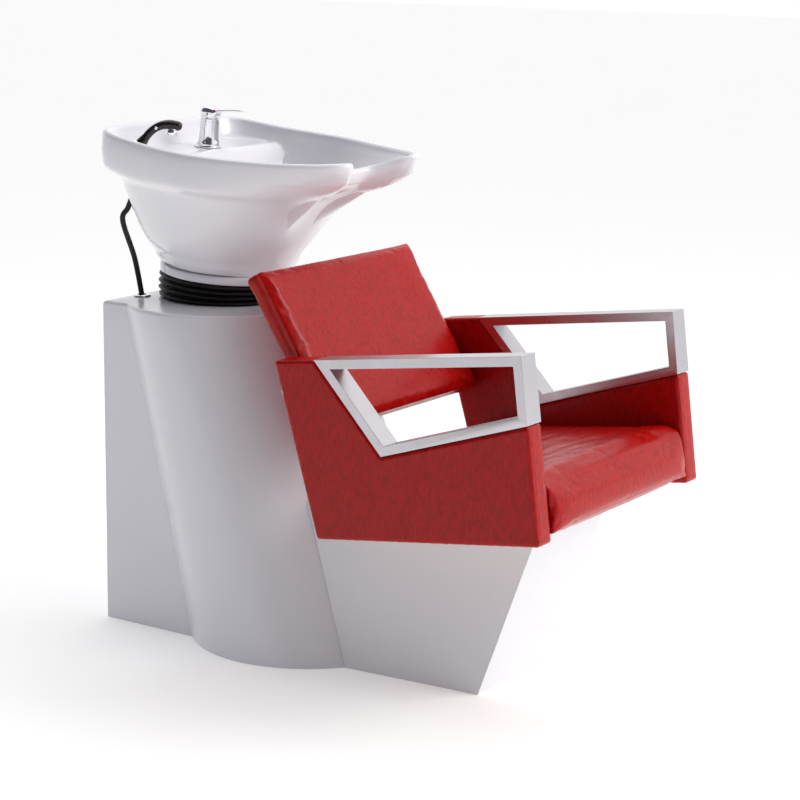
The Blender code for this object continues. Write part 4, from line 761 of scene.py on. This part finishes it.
@dataclass
class HandSpray:
    """The pull-out hand spray in its holder, and the hose that feeds it."""

    x: float = -0.148
    y: float = 0.134
    lean: float = math.radians(34.0)
    turn: float = math.radians(38.0)
    head: float = math.radians(104.0)
    radius: float = 0.011
    reach: float = 0.124
    holder_radius: float = 0.017
    hose_radius: float = 0.0055
    hose_exit_at: Point = (-0.1359, 0.1582, 0.1406)
    hose_slope_at: Point = (-0.0054, 0.012, -0.035)

    @property
    def hose_exit(self) -> Vector:
        """Where the hose leaves the bowl's rear skin, in the bowl's frame."""
        return Vector(self.hose_exit_at)

    @property
    def hose_slope(self) -> Vector:
        """A short step along the hose at its exit."""
        return Vector(self.hose_slope_at)

    def axis(self) -> Vector:
        """Direction in which the spray lifts out, in the bowl's frame."""
        lean = math.sin(self.lean)
        return Vector((lean * math.sin(self.turn), -lean * math.cos(self.turn), math.cos(self.lean)))

    def seat(self, bowl: Bowl) -> Vector:
        """Where the spray's axis meets the deck, in the bowl's frame."""
        return Vector((self.x, self.y, bowl.rim_height - bowl.deck_depth))

    def spine(self, count: int) -> list[tuple[Vector, Vector, float]]:
        """Points, directions and radii along the curved handle, from the seat."""
        axis = self.axis()
        flat = Vector((axis.x, axis.y, 0.0)).normalized()
        point = axis * (-0.012 + GAP)
        stations = []
        for k in range(count):
            share = k / (count - 1)
            angle = self.lean + (self.head - self.lean) * smooth_step((share - 0.30) / 0.70)
            direction = flat * math.sin(angle) + Vector((0, 0, math.cos(angle)))
            radius = self.radius - 0.0030 * smooth_step((share - 0.22) / 0.16) + 0.0014 * smooth_step((share - 0.55) / 0.3)
            stations.append((point.copy(), direction, radius))
            point = point + direction * (self.reach / (count - 1))
        return stations

    def build(self, bowl: Bowl) -> None:
        """Make the holder, the handle, its nozzle and its trim."""
        seat, axis = self.seat(bowl), self.axis()
        upright = Vector((0, 0, 1)).rotation_difference(axis).to_matrix().to_4x4()
        place = bowl.place() @ Matrix.Translation(seat)
        bore, outer = self.radius + 0.0006, self.holder_radius
        cup = [(bore, -0.022), (outer, -0.022), (outer, 0.0110), (outer - 0.0006, 0.0136), (outer - 0.0022, 0.0155),
               (outer - 0.0038, 0.0160), (bore + 0.0004, 0.0160), (bore, 0.0154)]
        holder = Bench.turned("spray_holder_cup", cup, place @ upright, 72, 35.0)
        Bench.dress(holder, CHROME, "chrome", Body.BOWL, "spray_holder")
        stations = self.spine(60)
        sides = 36
        rows = []
        for k, (point, direction, radius) in enumerate(stations):
            tip = max(0.0, (k - 55) / 4.5)
            radius *= math.sqrt(max(0.02, 1.0 - tip * tip))
            turn = Vector((0, 0, 1)).rotation_difference(direction)
            rows.append([turn @ Vector((radius * math.cos(math.tau * i / sides),
                                        radius * math.sin(math.tau * i / sides), 0.0)) + point
                         for i in range(sides)])
        rows = [[stations[0][0]] * sides] + rows + [[stations[-1][0] + stations[-1][1] * 0.0004] * sides]
        handle = Bench.skin("spray_grip", rows, 50.0)
        handle.data.transform(place)
        Bench.dress(handle, DARK_PLASTIC, "black_plastic", Body.SPRAY, "spray_handle")
        self.build_nozzle(place, stations)

    def build_nozzle(self, place: Matrix, stations: list[tuple[Vector, Vector, float]]) -> None:
        """Make the spray face under the head, and a chrome stud on each side of it."""
        point, direction, radius = stations[51]
        drop = direction.cross(direction.cross(Vector((0, 0, 1)))).normalized()
        turn = Vector((0, 0, 1)).rotation_difference(drop).to_matrix().to_4x4()
        face = [(0.0, -0.0030), (0.0085, -0.0030), (0.0085, 0.0), (0.0104, 0.0028), (0.0106, 0.0040),
                (0.0106, 0.0092), (0.0100, 0.0104), (0.0086, 0.0110), (0.0080, 0.0102), (0.0, 0.0098)]
        at = Matrix.Translation(point + drop * (radius + 0.0006))
        nozzle = Bench.turned("spray_face", face, place @ at @ turn, 64, 35.0)
        Bench.dress(nozzle, CHROME, "chrome", Body.SPRAY, "spray_nozzle")
        middle, along, radius = stations[34]
        side = along.cross(Vector((0, 0, 1))).normalized()
        for number, sign in enumerate((-1.0, 1.0), 1):
            spot = place @ (middle + side * sign * (radius - 0.0006))
            stud = Bench.pebble(f"spray_stud_{number}", spot, (0.0034, 0.0034, 0.0034))
            Bench.dress(stud, CHROME, "chrome", Body.SPRAY)

    def build_hose(self, bowl: Bowl, route: list[Point]) -> None:
        """Make the hose from the spray's tail, out of the bowl and down through the grommet.

        Args:
            bowl: the bowl, whose frame holds the upper end.
            route: points of the lower part, in the unit's frame.
        """
        seat, axis, place = self.seat(bowl), self.axis(), bowl.place()
        upper = [seat - axis * 0.0330, seat - axis * 0.0431, Vector((-0.1596, 0.1523, 0.2101)),
                 Vector((-0.1383, 0.1423, 0.1881)), self.hose_exit, self.hose_exit + self.hose_slope * 0.8]
        points = [tuple(place @ point) for point in upper] + route
        path = even_path(points, 150)
        hose = Bench.tube("spray_feed_hose", path, self.hose_radius, 20)
        Bench.dress(hose, RUBBER, "black_rubber", None, "spray_hose")
        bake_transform(hose)


# ---------------------------------------------------------------- pedestal, bellows and grommet
@dataclass
class Pedestal:
    """The pedestal's shell with its bellows and hose grommet."""

    height: float = 0.660
    rear: float = 0.440
    block_half: float = 0.204
    wall: float = 0.005
    floor: Point = (0.050, 0.273, 0.250)
    top: Point = (0.260, 0.248, 0.210)
    edge: float = 0.007
    door_half: float = 0.130
    door_low: float = 0.130
    door_high: float = 0.530
    bellows_inner: float = 0.122
    bellows_outer: float = 0.143
    folds: int = 4
    grommet: Point = (-0.114, 0.415, 0.660)

    def column(self, height: float) -> list[float]:
        """Centre y, half width and half depth of the leaning column at a height."""
        share = height / self.height
        return [a + (b - a) * share for a, b in zip(self.floor, self.top)]

    def outline(self, height: float, inset: float) -> list[Vector]:
        """Plan of the pedestal at a height, drawn in by inset."""
        centre, half_width, half_depth = self.column(height)
        half_width, half_depth = half_width - inset, half_depth - inset
        side, rear = self.block_half - inset, self.rear - inset
        start = math.acos(side / half_width)
        meet = centre + half_depth * math.sin(start)
        half = [Vector((side * k / 8.0, rear, height)) for k in range(9)]
        half += [Vector((side, rear + (meet - rear) * k / 8.0, height)) for k in range(1, 8)]
        steps = 56
        for k in range(steps + 1):
            angle = start - (start + math.pi / 2) * k / steps
            half.append(Vector((half_width * math.cos(angle), centre + half_depth * math.sin(angle), height)))
        return half + [Vector((-p.x, p.y, p.z)) for p in reversed(half[1:-1])]

    def round_hole(self, outline: list[Vector], radius: float, height: float, bowl: Bowl) -> list[Vector]:
        """One point of the bellows' hole for each point of an outline."""
        axis = Vector((0.0, bowl.tilt_y))
        rays = [(point.to_2d() - axis).normalized() * radius + axis for point in outline]
        return [Vector((ray.x, ray.y, height)) for ray in rays]

    def build(self, bowl: Bowl) -> None:
        """Make the shell, the bellows and the grommet."""
        steps = 12
        rows = [self.outline((self.height - self.edge) * k / steps, 0.0) for k in range(steps + 1)]
        for k in range(1, 7):
            angle = math.pi / 2 * k / 6
            rows.append(self.outline(self.height - self.edge * (1 - math.sin(angle)), self.edge * (1 - math.cos(angle))))
        hole, under = self.bellows_inner - 0.012, self.height - self.wall
        inner = self.outline(under, self.wall + self.edge / 2)
        rows += [self.round_hole(rows[-1], hole, self.height, bowl), self.round_hole(inner, hole, under, bowl), inner]
        rows += [self.outline(self.height * k / 3, self.wall) for k in (2, 1, 0)]
        rows.append(rows[0])
        shell = Bench.skin("pedestal_skin", rows, 24.0)
        self.cut_box(shell, (-self.door_half, self.rear - 0.02, self.door_low),
                     (self.door_half, self.rear + 0.02, self.door_high))
        plate_low, plate_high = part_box("base_plate")
        front = self.floor[0] - self.floor[2]
        self.cut_box(shell, (plate_low.x - GAP, front - 0.05, -0.01),
                     (plate_high.x + GAP, front + 0.08, plate_high.z + GAP))
        self.cut_grommet_hole(shell)
        Bench.take(shell)
        bpy.ops.object.shade_smooth_by_angle(angle=math.radians(24))
        Bench.dress(shell, GELCOAT, "white_gelcoat", Body.ROOT, "pedestal_shell")
        self.build_bellows(bowl)
        self.build_grommet()

    def cut_box(self, piece: bpy.types.Object, low: Point, high: Point) -> None:
        """Cut a box out of a piece."""
        Bench.take(None)
        bpy.ops.mesh.primitive_cube_add(size=1.0)
        cutter = Bench.named("opening")
        size = Vector(high) - Vector(low)
        cutter.data.transform(Matrix.Translation((Vector(low) + Vector(high)) / 2) @ Matrix.Diagonal((*size, 1.0)))
        Bench.modify(piece, "BOOLEAN", operation="DIFFERENCE", object=cutter, solver="EXACT")
        bpy.data.objects.remove(cutter)

    def cut_grommet_hole(self, piece: bpy.types.Object) -> None:
        """Cut the round hole for the grommet's neck."""
        Bench.take(None)
        bpy.ops.mesh.primitive_cylinder_add(vertices=48, radius=0.0133, depth=0.04, location=self.grommet)
        cutter = Bench.named("hole")
        Bench.modify(piece, "BOOLEAN", operation="DIFFERENCE", object=cutter, solver="EXACT")
        bpy.data.objects.remove(cutter)

    def build_bellows(self, bowl: Bowl) -> None:
        """Make the accordion sleeve: soft uneven folds from the pedestal to the tilted collar."""
        steps, sides, wall = 48, 160, 0.003
        rows = []
        for inset, order in ((0.0, range(steps + 1)), (wall, range(steps, -1, -1))):
            for k in order:
                rows.append([self.bellows_point(bowl, k / steps, i / sides, inset) for i in range(sides)])
        rows.append(rows[0])
        bellows = Bench.skin("bellows_sleeve", rows, 50.0)
        Bench.dress(bellows, RUBBER, "black_rubber", None, "bellows")
        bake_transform(bellows)

    def bellows_point(self, bowl: Bowl, share: float, around: float, inset: float) -> Vector:
        """A point of the bellows' skin at a share of its height and of its turn."""
        angle = math.tau * around
        ends = math.sin(math.pi * share)
        sway = noise.noise(Vector((math.sin(angle) * 1.6, math.cos(angle) * 1.6, 5.0))) * 0.55
        fold = 0.5 - 0.5 * math.cos(math.tau * self.folds * (share + sway * 0.16 * ends))
        peak = self.bellows_outer - 0.0030 * (1 - ends)
        valley = self.bellows_outer - 0.0110 + 0.0020 * ends
        pucker = noise.noise(Vector((math.sin(angle) * 9.0, math.cos(angle) * 9.0, share * 9.0))) * 0.0012 * ends
        radius = valley + (peak - valley) * fold ** 0.8 - inset + pucker
        flat = Vector((radius * math.sin(angle), radius * math.cos(angle), 0.0))
        low = flat + Vector((0.0, bowl.tilt_y, self.height + GAP))
        high = bowl.place() @ (flat + Vector((0.0, 0.0, bowl.collar_low - GAP)))
        return low.lerp(high, share)

    def build_grommet(self) -> None:
        """Make the pale ring through which the hose enters the pedestal."""
        bore, neck, rim, low = 0.0100, 0.0130, 0.0180, -0.0137
        profile = [(bore, low), (neck, low), (neck, GAP), (rim, GAP), (rim, GAP + 0.0012), (rim - 0.0008, GAP + 0.0024),
                   (rim - 0.0028, GAP + 0.0034), (rim - 0.0045, GAP + 0.0035), (bore + 0.0006, GAP + 0.0035),
                   (bore, GAP + 0.0029)]
        ring = Bench.turned("hose_entry_ring", profile, Matrix.Translation(self.grommet), 72, 35.0)
        Bench.dress(ring, CHROME, "chrome", Body.ROOT, "hose_grommet")


# ---------------------------------------------------------------- the chair
@dataclass
class Chair:
    """The reclined armchair: side panels, arm frames, seat and backrest, in the chair's tilted frame."""

    y: float = -0.163
    z: float = 0.2885
    tilt: float = math.radians(7.7)
    half_width: float = 0.305
    panel: float = 0.047
    depth: float = 0.479
    front_height: float = 0.214
    arm_height: float = 0.336
    notch: tuple[float, float] = (0.1645, 0.157)
    arm_rear: float = 0.036
    rear_top: float = -0.055
    arm_bar: float = 0.018
    board_top: float = 0.0355
    board_front: float = 0.452
    seat_rear: float = 0.010
    seat_front: float = 0.486
    seat_top: float = 0.114
    seat_apron: float = 0.006
    seat_round: float = 0.022
    back_foot: tuple[float, float] = (-0.172, 0.485)
    back_recline: float = math.radians(32.6)
    back_length: float = 0.345
    back_thick: float = 0.045

    def point(self, s: float, h: float, x: float) -> Vector:
        """The unit's point for the chair's s (forwards), h (upwards) and x."""
        return Vector((x, self.y - s * math.cos(self.tilt) + h * math.sin(self.tilt),
                       self.z + s * math.sin(self.tilt) + h * math.cos(self.tilt)))

    def seat_place(self) -> Matrix:
        """From (x, s, h) of the seat to the unit's frame."""
        across, forward = Vector((1, 0, 0)), self.point(1, 0, 0) - self.point(0, 0, 0)
        up = self.point(0, 1, 0) - self.point(0, 0, 0)
        turn = Matrix((across, forward, up)).transposed().to_4x4()
        return Matrix.Translation(self.point(0, 0, 0)) @ turn

    def back_place(self) -> Matrix:
        """From (x, along, behind) of the backrest to the unit's frame."""
        sine, cosine = math.sin(self.back_recline), math.cos(self.back_recline)
        turn = Matrix(((1, 0, 0), (0, sine, cosine), (0, cosine, -sine))).to_4x4()
        return Matrix.Translation((0.0, *self.back_foot)) @ turn

    def build(self) -> None:
        """Make both sides, the seat and the backrest."""
        for side, sign in (("right", -1.0), ("left", 1.0)):
            self.build_side(side, sign)
        self.build_seat()
        self.build_backrest()

    def build_side(self, side: str, sign: float) -> None:
        """Make one upholstered side panel and finish its arm frame.

        Args:
            side: "left" or "right", as the sitter sees it.
            sign: +1 for the left and -1 for the right.
        """
        edge = 0.0006
        inner, outer = sign * (self.half_width - self.panel), sign * self.half_width
        low, high = min(inner, outer), max(inner, outer)
        outline = ((0.0, 0.0), (self.depth, 0.0), (self.depth, self.front_height), self.notch,
                   (self.arm_rear, self.arm_height), (self.rear_top, self.arm_height))
        points = [self.point(s, h, low) for s, h in outline]
        panel = Bench.plate(f"{side}_upholstered_side", points, Vector((high - low, 0, 0)), 0.0065, 4)
        self.stitch_side(panel, sign)
        Bench.dress(panel, VINYL, "red_vinyl", Body.ROOT, f"{side}_side_panel")
        arm = Bench.copy_of(f"{side}_arm_frame", f"{side}_arm_bar", 25.0)
        Bench.edit(arm, lambda: bpy.ops.mesh.dissolve_limited(angle_limit=math.radians(2)),
                   lambda: bpy.ops.mesh.select_all(action="SELECT"),
                   lambda: bpy.ops.mesh.bevel(offset=edge, segments=2, affect="EDGES"))
        bpy.ops.object.shade_smooth_by_angle(angle=math.radians(25))
        Bench.dress(arm, SATIN, "satin_steel", Body.ROOT, f"{side}_arm_frame")

    def stitch_side(self, panel: bpy.types.Object, sign: float) -> None:
        """Divide the panel finely and press a seam round its edge band."""
        Bench.edit(panel, lambda: bpy.ops.mesh.quads_convert_to_tris())
        panel.data.remesh_voxel_size = 0.0032
        Bench.take(panel)
        bpy.ops.object.voxel_remesh()
        middle = sign * (self.half_width - self.panel / 2)
        seam_at, seam_width = self.panel / 2 - 0.0075, 0.0016
        normals = [vertex.normal.copy() for vertex in panel.data.vertices]
        for vertex, normal in zip(panel.data.vertices, normals):
            across = vertex.co.x - middle
            on_edge = 1.0 - min(1.0, abs(normal.x) * 1.5)
            near = math.exp(-((abs(across) - seam_at) / seam_width) ** 2)
            vertex.co -= normal * 0.0011 * near * on_edge
        Bench.take(panel)
        bpy.ops.object.shade_smooth()

    def build_seat(self) -> None:
        """Make the seat cushion: inflated cloth over the board, with a seam along its front edge."""
        half = self.half_width - self.panel - 0.0010
        top, front, round_ = self.seat_top - 0.004, self.seat_front - 0.003, self.seat_round
        low = self.board_top + GAP
        profile = [(self.seat_rear + 0.002, low), (self.board_front + GAP, low),
                   (self.board_front + GAP, self.seat_apron + 0.001), (front, self.seat_apron + 0.001)]
        for k in range(7):
            angle = math.pi / 2 * k / 6
            profile.append((front - round_ + round_ * math.cos(angle), top - round_ + round_ * math.sin(angle)))
        for k in range(7):
            angle = math.pi / 2 * (1 + k / 6)
            profile.append((self.seat_rear + 0.002 + round_ + round_ * math.cos(angle),
                            top - round_ + round_ * math.sin(angle)))
        outline = [Vector((-half, s, h)) for s, h in profile]
        seat = Bench.plate("seat_pad", outline, Vector((2 * half, 0, 0)), 0.0030)
        Cushion(seat, 0.010).inflate()
        limits = (Vector((-half - 0.0006, self.seat_rear, self.seat_apron)),
                  Vector((half + 0.0006, self.seat_front + 0.006, self.seat_top + 0.010)))
        corner = Vector((0.0, front - round_ * 0.55, top - round_ * 0.20))
        for vertex in seat.data.vertices:
            co = vertex.co
            if co.y < self.board_front + 0.004:
                co.z = max(co.z, low)
            if co.z < low - 0.001:
                co.y = max(co.y, self.board_front + GAP)
            reach = abs(co.x) / half
            crease = noise.noise(Vector((co.x * 14.0, co.y * 46.0, 0.0))) * 0.0014
            ruck = noise.noise(Vector((co.x * 30.0 + 3.0, co.y * 90.0, 2.0))) * 0.0006
            if vertex.normal.z > 0.5:
                co.z += (crease + ruck) * (1.0 - 0.6 * reach ** 4)
            seam = math.hypot(co.y - corner.y - 0.012, co.z - corner.z + 0.004)
            vertex.co -= vertex.normal * 0.0022 * math.exp(-(seam / 0.0030) ** 2)
            for axis in range(3):
                vertex.co[axis] = max(limits[0][axis], min(limits[1][axis], vertex.co[axis]))
        seat.data.transform(self.seat_place())
        self.finish_cushion(seat, "seat_cushion")

    def build_backrest(self) -> None:
        """Make the backrest pad: inflated cloth with a rolled seam along its front edges."""
        half = self.half_width - self.panel - 0.0016
        length, thick = self.back_length, self.back_thick
        outline = [Vector((-half, 0.003, 0.003)), Vector((-half, length - 0.003, 0.003)),
                   Vector((-half, length - 0.003, thick - 0.002)), Vector((-half, 0.003, thick - 0.002))]
        back = Bench.plate("backrest_pad", outline, Vector((2 * half, 0, 0)), 0.0085, 4)
        Cushion(back, 0.0075).inflate()
        seam_at = 0.0150
        for vertex in back.data.vertices:
            co, normal = vertex.co, vertex.normal
            sideways = 1.0 - smooth_step((abs(normal.z) - 0.35) / 0.4)
            groove = math.exp(-((co.z - seam_at) / 0.0028) ** 2)
            vertex.co -= normal * 0.0030 * groove * sideways
            ripple = noise.noise(Vector((co.x * 18.0, co.y * 18.0, 7.0))) * 0.0010
            vertex.co += normal * ripple * max(0.0, -normal.z)
            co.x = max(-half - 0.0012, min(half + 0.0012, co.x))
            co.z = min(co.z, thick)
        back.data.transform(self.back_place())
        self.finish_cushion(back, "backrest_cushion")

    def finish_cushion(self, piece: bpy.types.Object, node: str) -> None:
        Bench.modify(piece, "SUBSURF", levels=1, render_levels=1)
        Bench.take(piece)
        bpy.ops.object.shade_smooth()
        Bench.dress(piece, VINYL, "red_vinyl", Body.ROOT, node)


@dataclass
class Cushion:
    """A stuffed cover: a closed shape that air pressure swells up to a cap."""

    piece: bpy.types.Object
    cap: float
    voxel: float = 0.005
    pressure: float = 4.0
    frames: int = 20

    def inflate(self) -> None:
        """Remesh the shape, run the cloth simulation and keep its result up to the cap."""
        self.piece.data.remesh_voxel_size = self.voxel
        Bench.take(self.piece)
        bpy.ops.object.voxel_remesh()
        scene = bpy.context.scene
        cloth = self.piece.modifiers.new("cover", "CLOTH")
        cloth.settings.quality = 5
        cloth.settings.use_pressure = True
        cloth.settings.uniform_pressure_force = self.pressure
        cloth.settings.effector_weights.gravity = 0.0
        cloth.point_cache.frame_start = 1
        cloth.point_cache.frame_end = self.frames
        start = [vertex.co.copy() for vertex in self.piece.data.vertices]
        for number in range(1, self.frames + 1):
            scene.frame_set(number)
        swollen = self.piece.evaluated_get(bpy.context.evaluated_depsgraph_get())
        end = [vertex.co.copy() for vertex in swollen.data.vertices]
        self.piece.modifiers.remove(cloth)
        for vertex, before, after in zip(self.piece.data.vertices, start, end):
            move = after - before
            if move.length > self.cap:
                move *= self.cap / move.length
            vertex.co = before + move
        scene.frame_set(1)
        self.piece.data.update()


# ---------------------------------------------------------------- plumbing behind the skins
@dataclass
class Plumbing:
    """Hoses that bend with the bowl in the real unit, here kept in their CAD shapes, finished and left on no body."""

    def build(self, bowl: Bowl, pedestal: Pedestal) -> None:
        """Make the supply hoses and the waste hose."""
        for node, finish, slot in (("hot_supply_hose", BRAID, "satin_steel"), ("cold_supply_hose", BRAID, "satin_steel"),
                                   ("waste_hose", RUBBER, "black_rubber")):
            hose = Bench.copy_of(node, node + "_bend", 60.0)
            Bench.dress(hose, finish, slot, None, node)
            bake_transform(hose)


# ---------------------------------------------------------------- studio
@dataclass
class Studio:
    """A pale floor, soft light and the camera."""

    camera_at: Point = (-3.485, -2.4785, 1.4029)
    azimuth: float = math.radians(-56.1479)
    elevation: float = math.radians(12.1746)
    roll: float = math.radians(0.7554)
    focal: float = 99.274
    sensor: float = 36.0

    def build(self) -> None:
        """Make the floor, the light and the camera."""
        self.build_floor()
        self.build_sky()
        self.lamp("key", (1.5, -3.0, 2.9), (0.0, -0.1, 0.6), 1.8, 60.0, (1.0, 0.985, 0.975))
        self.lamp("top", (0.6, 0.6, 3.4), (0.0, 0.0, 0.6), 2.2, 14.0, (1.0, 1.0, 1.0))
        self.build_camera()

    def build_floor(self) -> None:
        """Make the plain floor."""
        Bench.take(None)
        bpy.ops.mesh.primitive_plane_add(size=60.0)
        floor = Bench.named("studio_floor")
        shader = Shader("pale_floor")
        shade = shader.noise(shader.place((1.0, 1.0, 1.0)), 2.0)
        shader.feed(shader.surface.inputs["Base Color"],
                    shader.ramp(shade, [(0.0, (0.93, 0.93, 0.93)), (1.0, (0.95, 0.95, 0.95))]))
        shader.surface.inputs["Roughness"].default_value = 0.9
        shader.surface.inputs["Emission Color"].default_value = (1.0, 1.0, 1.0, 1.0)
        shader.surface.inputs["Emission Strength"].default_value = 0.32
        floor.data.materials.append(shader.material)

    def build_sky(self) -> None:
        """Light all round, dimmer and cooler from the sitter's right."""
        world = bpy.data.worlds.new("studio_light")
        bpy.context.scene.world = world
        world.use_nodes = True
        nodes, links = world.node_tree.nodes, world.node_tree.links
        where = nodes.new("ShaderNodeTexCoord")
        parts = nodes.new("ShaderNodeSeparateXYZ")
        links.new(where.outputs["Generated"], parts.inputs[0])
        ramp = nodes.new("ShaderNodeValToRGB")
        stretch = nodes.new("ShaderNodeMapRange")
        stretch.inputs["From Min"].default_value = -1.0
        links.new(parts.outputs["X"], stretch.inputs["Value"])
        links.new(stretch.outputs["Result"], ramp.inputs["Fac"])
        spots = ramp.color_ramp.elements
        spots[0].position, spots[0].color = 0.30, (0.08, 0.08, 0.10, 1.0)
        spots[1].position, spots[1].color = 0.50, (1.0, 1.0, 1.0, 1.0)
        links.new(ramp.outputs["Color"], nodes["Background"].inputs["Color"])
        nodes["Background"].inputs["Strength"].default_value = 1.0

    def lamp(self, name: str, at: Point, towards: Point, size: float, power: float, colour: Colour) -> None:
        """Add a soft square lamp.

        Args:
            name: the lamp's name.
            at: where it hangs.
            towards: the point that it faces.
            size: side of the square in metres.
            power: watts.
            colour: its colour.
        """
        bpy.ops.object.light_add(type="AREA", location=at)
        lamp = bpy.context.active_object
        lamp.name = name
        lamp.data.size = size
        lamp.data.energy = power
        lamp.data.color = colour
        lamp.rotation_euler = (Vector(towards) - Vector(at)).to_track_quat("-Z", "Y").to_euler()

    def build_camera(self) -> None:
        """Place the camera: azimuth, elevation and roll about the view direction."""
        back = Vector((math.sin(self.azimuth) * math.cos(self.elevation),
                       -math.cos(self.azimuth) * math.cos(self.elevation), math.sin(self.elevation)))
        right = Vector((0, 0, 1)).cross(back).normalized()
        up = back.cross(right)
        cosine, sine = math.cos(self.roll), math.sin(self.roll)
        turn = Matrix((right * cosine + up * sine, up * cosine - right * sine, back)).transposed()
        bpy.ops.object.camera_add(location=self.camera_at, rotation=turn.to_euler())
        camera = bpy.context.active_object
        camera.data.lens = self.focal
        camera.data.sensor_width = self.sensor
        bpy.context.scene.camera = camera
        bpy.context.scene.view_settings.view_transform = "Standard"


def dress_frame() -> None:
    """Give every CAD node its finish, taken from its slot in the record."""
    for entry in frame["record"]["subparts"]:
        node = frame["nodes"][entry["node"]]
        finish = NODE_LOOKS.get(entry["node"], SLOT_LOOKS[entry["material_slot"]])
        if not node.material_slots:
            node.data.materials.append(None)
        for slot in node.material_slots:
            slot.material = finish.material()
        LOG.info("%s: %s", entry["node"], finish.name)


def main() -> None:
    """Build the studio and every piece."""
    logging.basicConfig(level=logging.INFO, format="%(name)s: %(message)s")
    Studio().build()
    dress_frame()
    bowl, tap, spray, pedestal = Bowl(), MixerTap(), HandSpray(), Pedestal()
    grommet = Vector(pedestal.grommet)
    offsets = ((0.0014, 0.0197, 0.075), (0.0, 0.0, 0.0), (0.003, -0.008, -0.040), (0.006, -0.015, -0.100),
               (0.008, -0.017, -0.180))
    route = [tuple(grommet + Vector(offset)) for offset in offsets]
    valve_z, union_y = 0.360, 0.3276
    route += [(-0.104, 0.385, valve_z + 0.040), (-0.101, 0.372, valve_z - 0.025), (-0.098, 0.360, valve_z - 0.085),
              (-0.0836, 0.350, valve_z - 0.1226), (-0.049, 0.339, valve_z - 0.137),
              (-0.0144, 0.331, valve_z - 0.1226), (0.0, union_y, valve_z - 0.088),
              (0.0, union_y, valve_z - 0.060), (0.0, union_y, valve_z - 0.0325)]
    spray.build_hose(bowl, route)
    bowl.build(tap, spray)
    tap.build(bowl)
    spray.build(bowl)
    pedestal.build(bowl)
    Chair().build()
    Plumbing().build(bowl, pedestal)
    Bench.take(None)


if __name__ == "__main__":
    main()
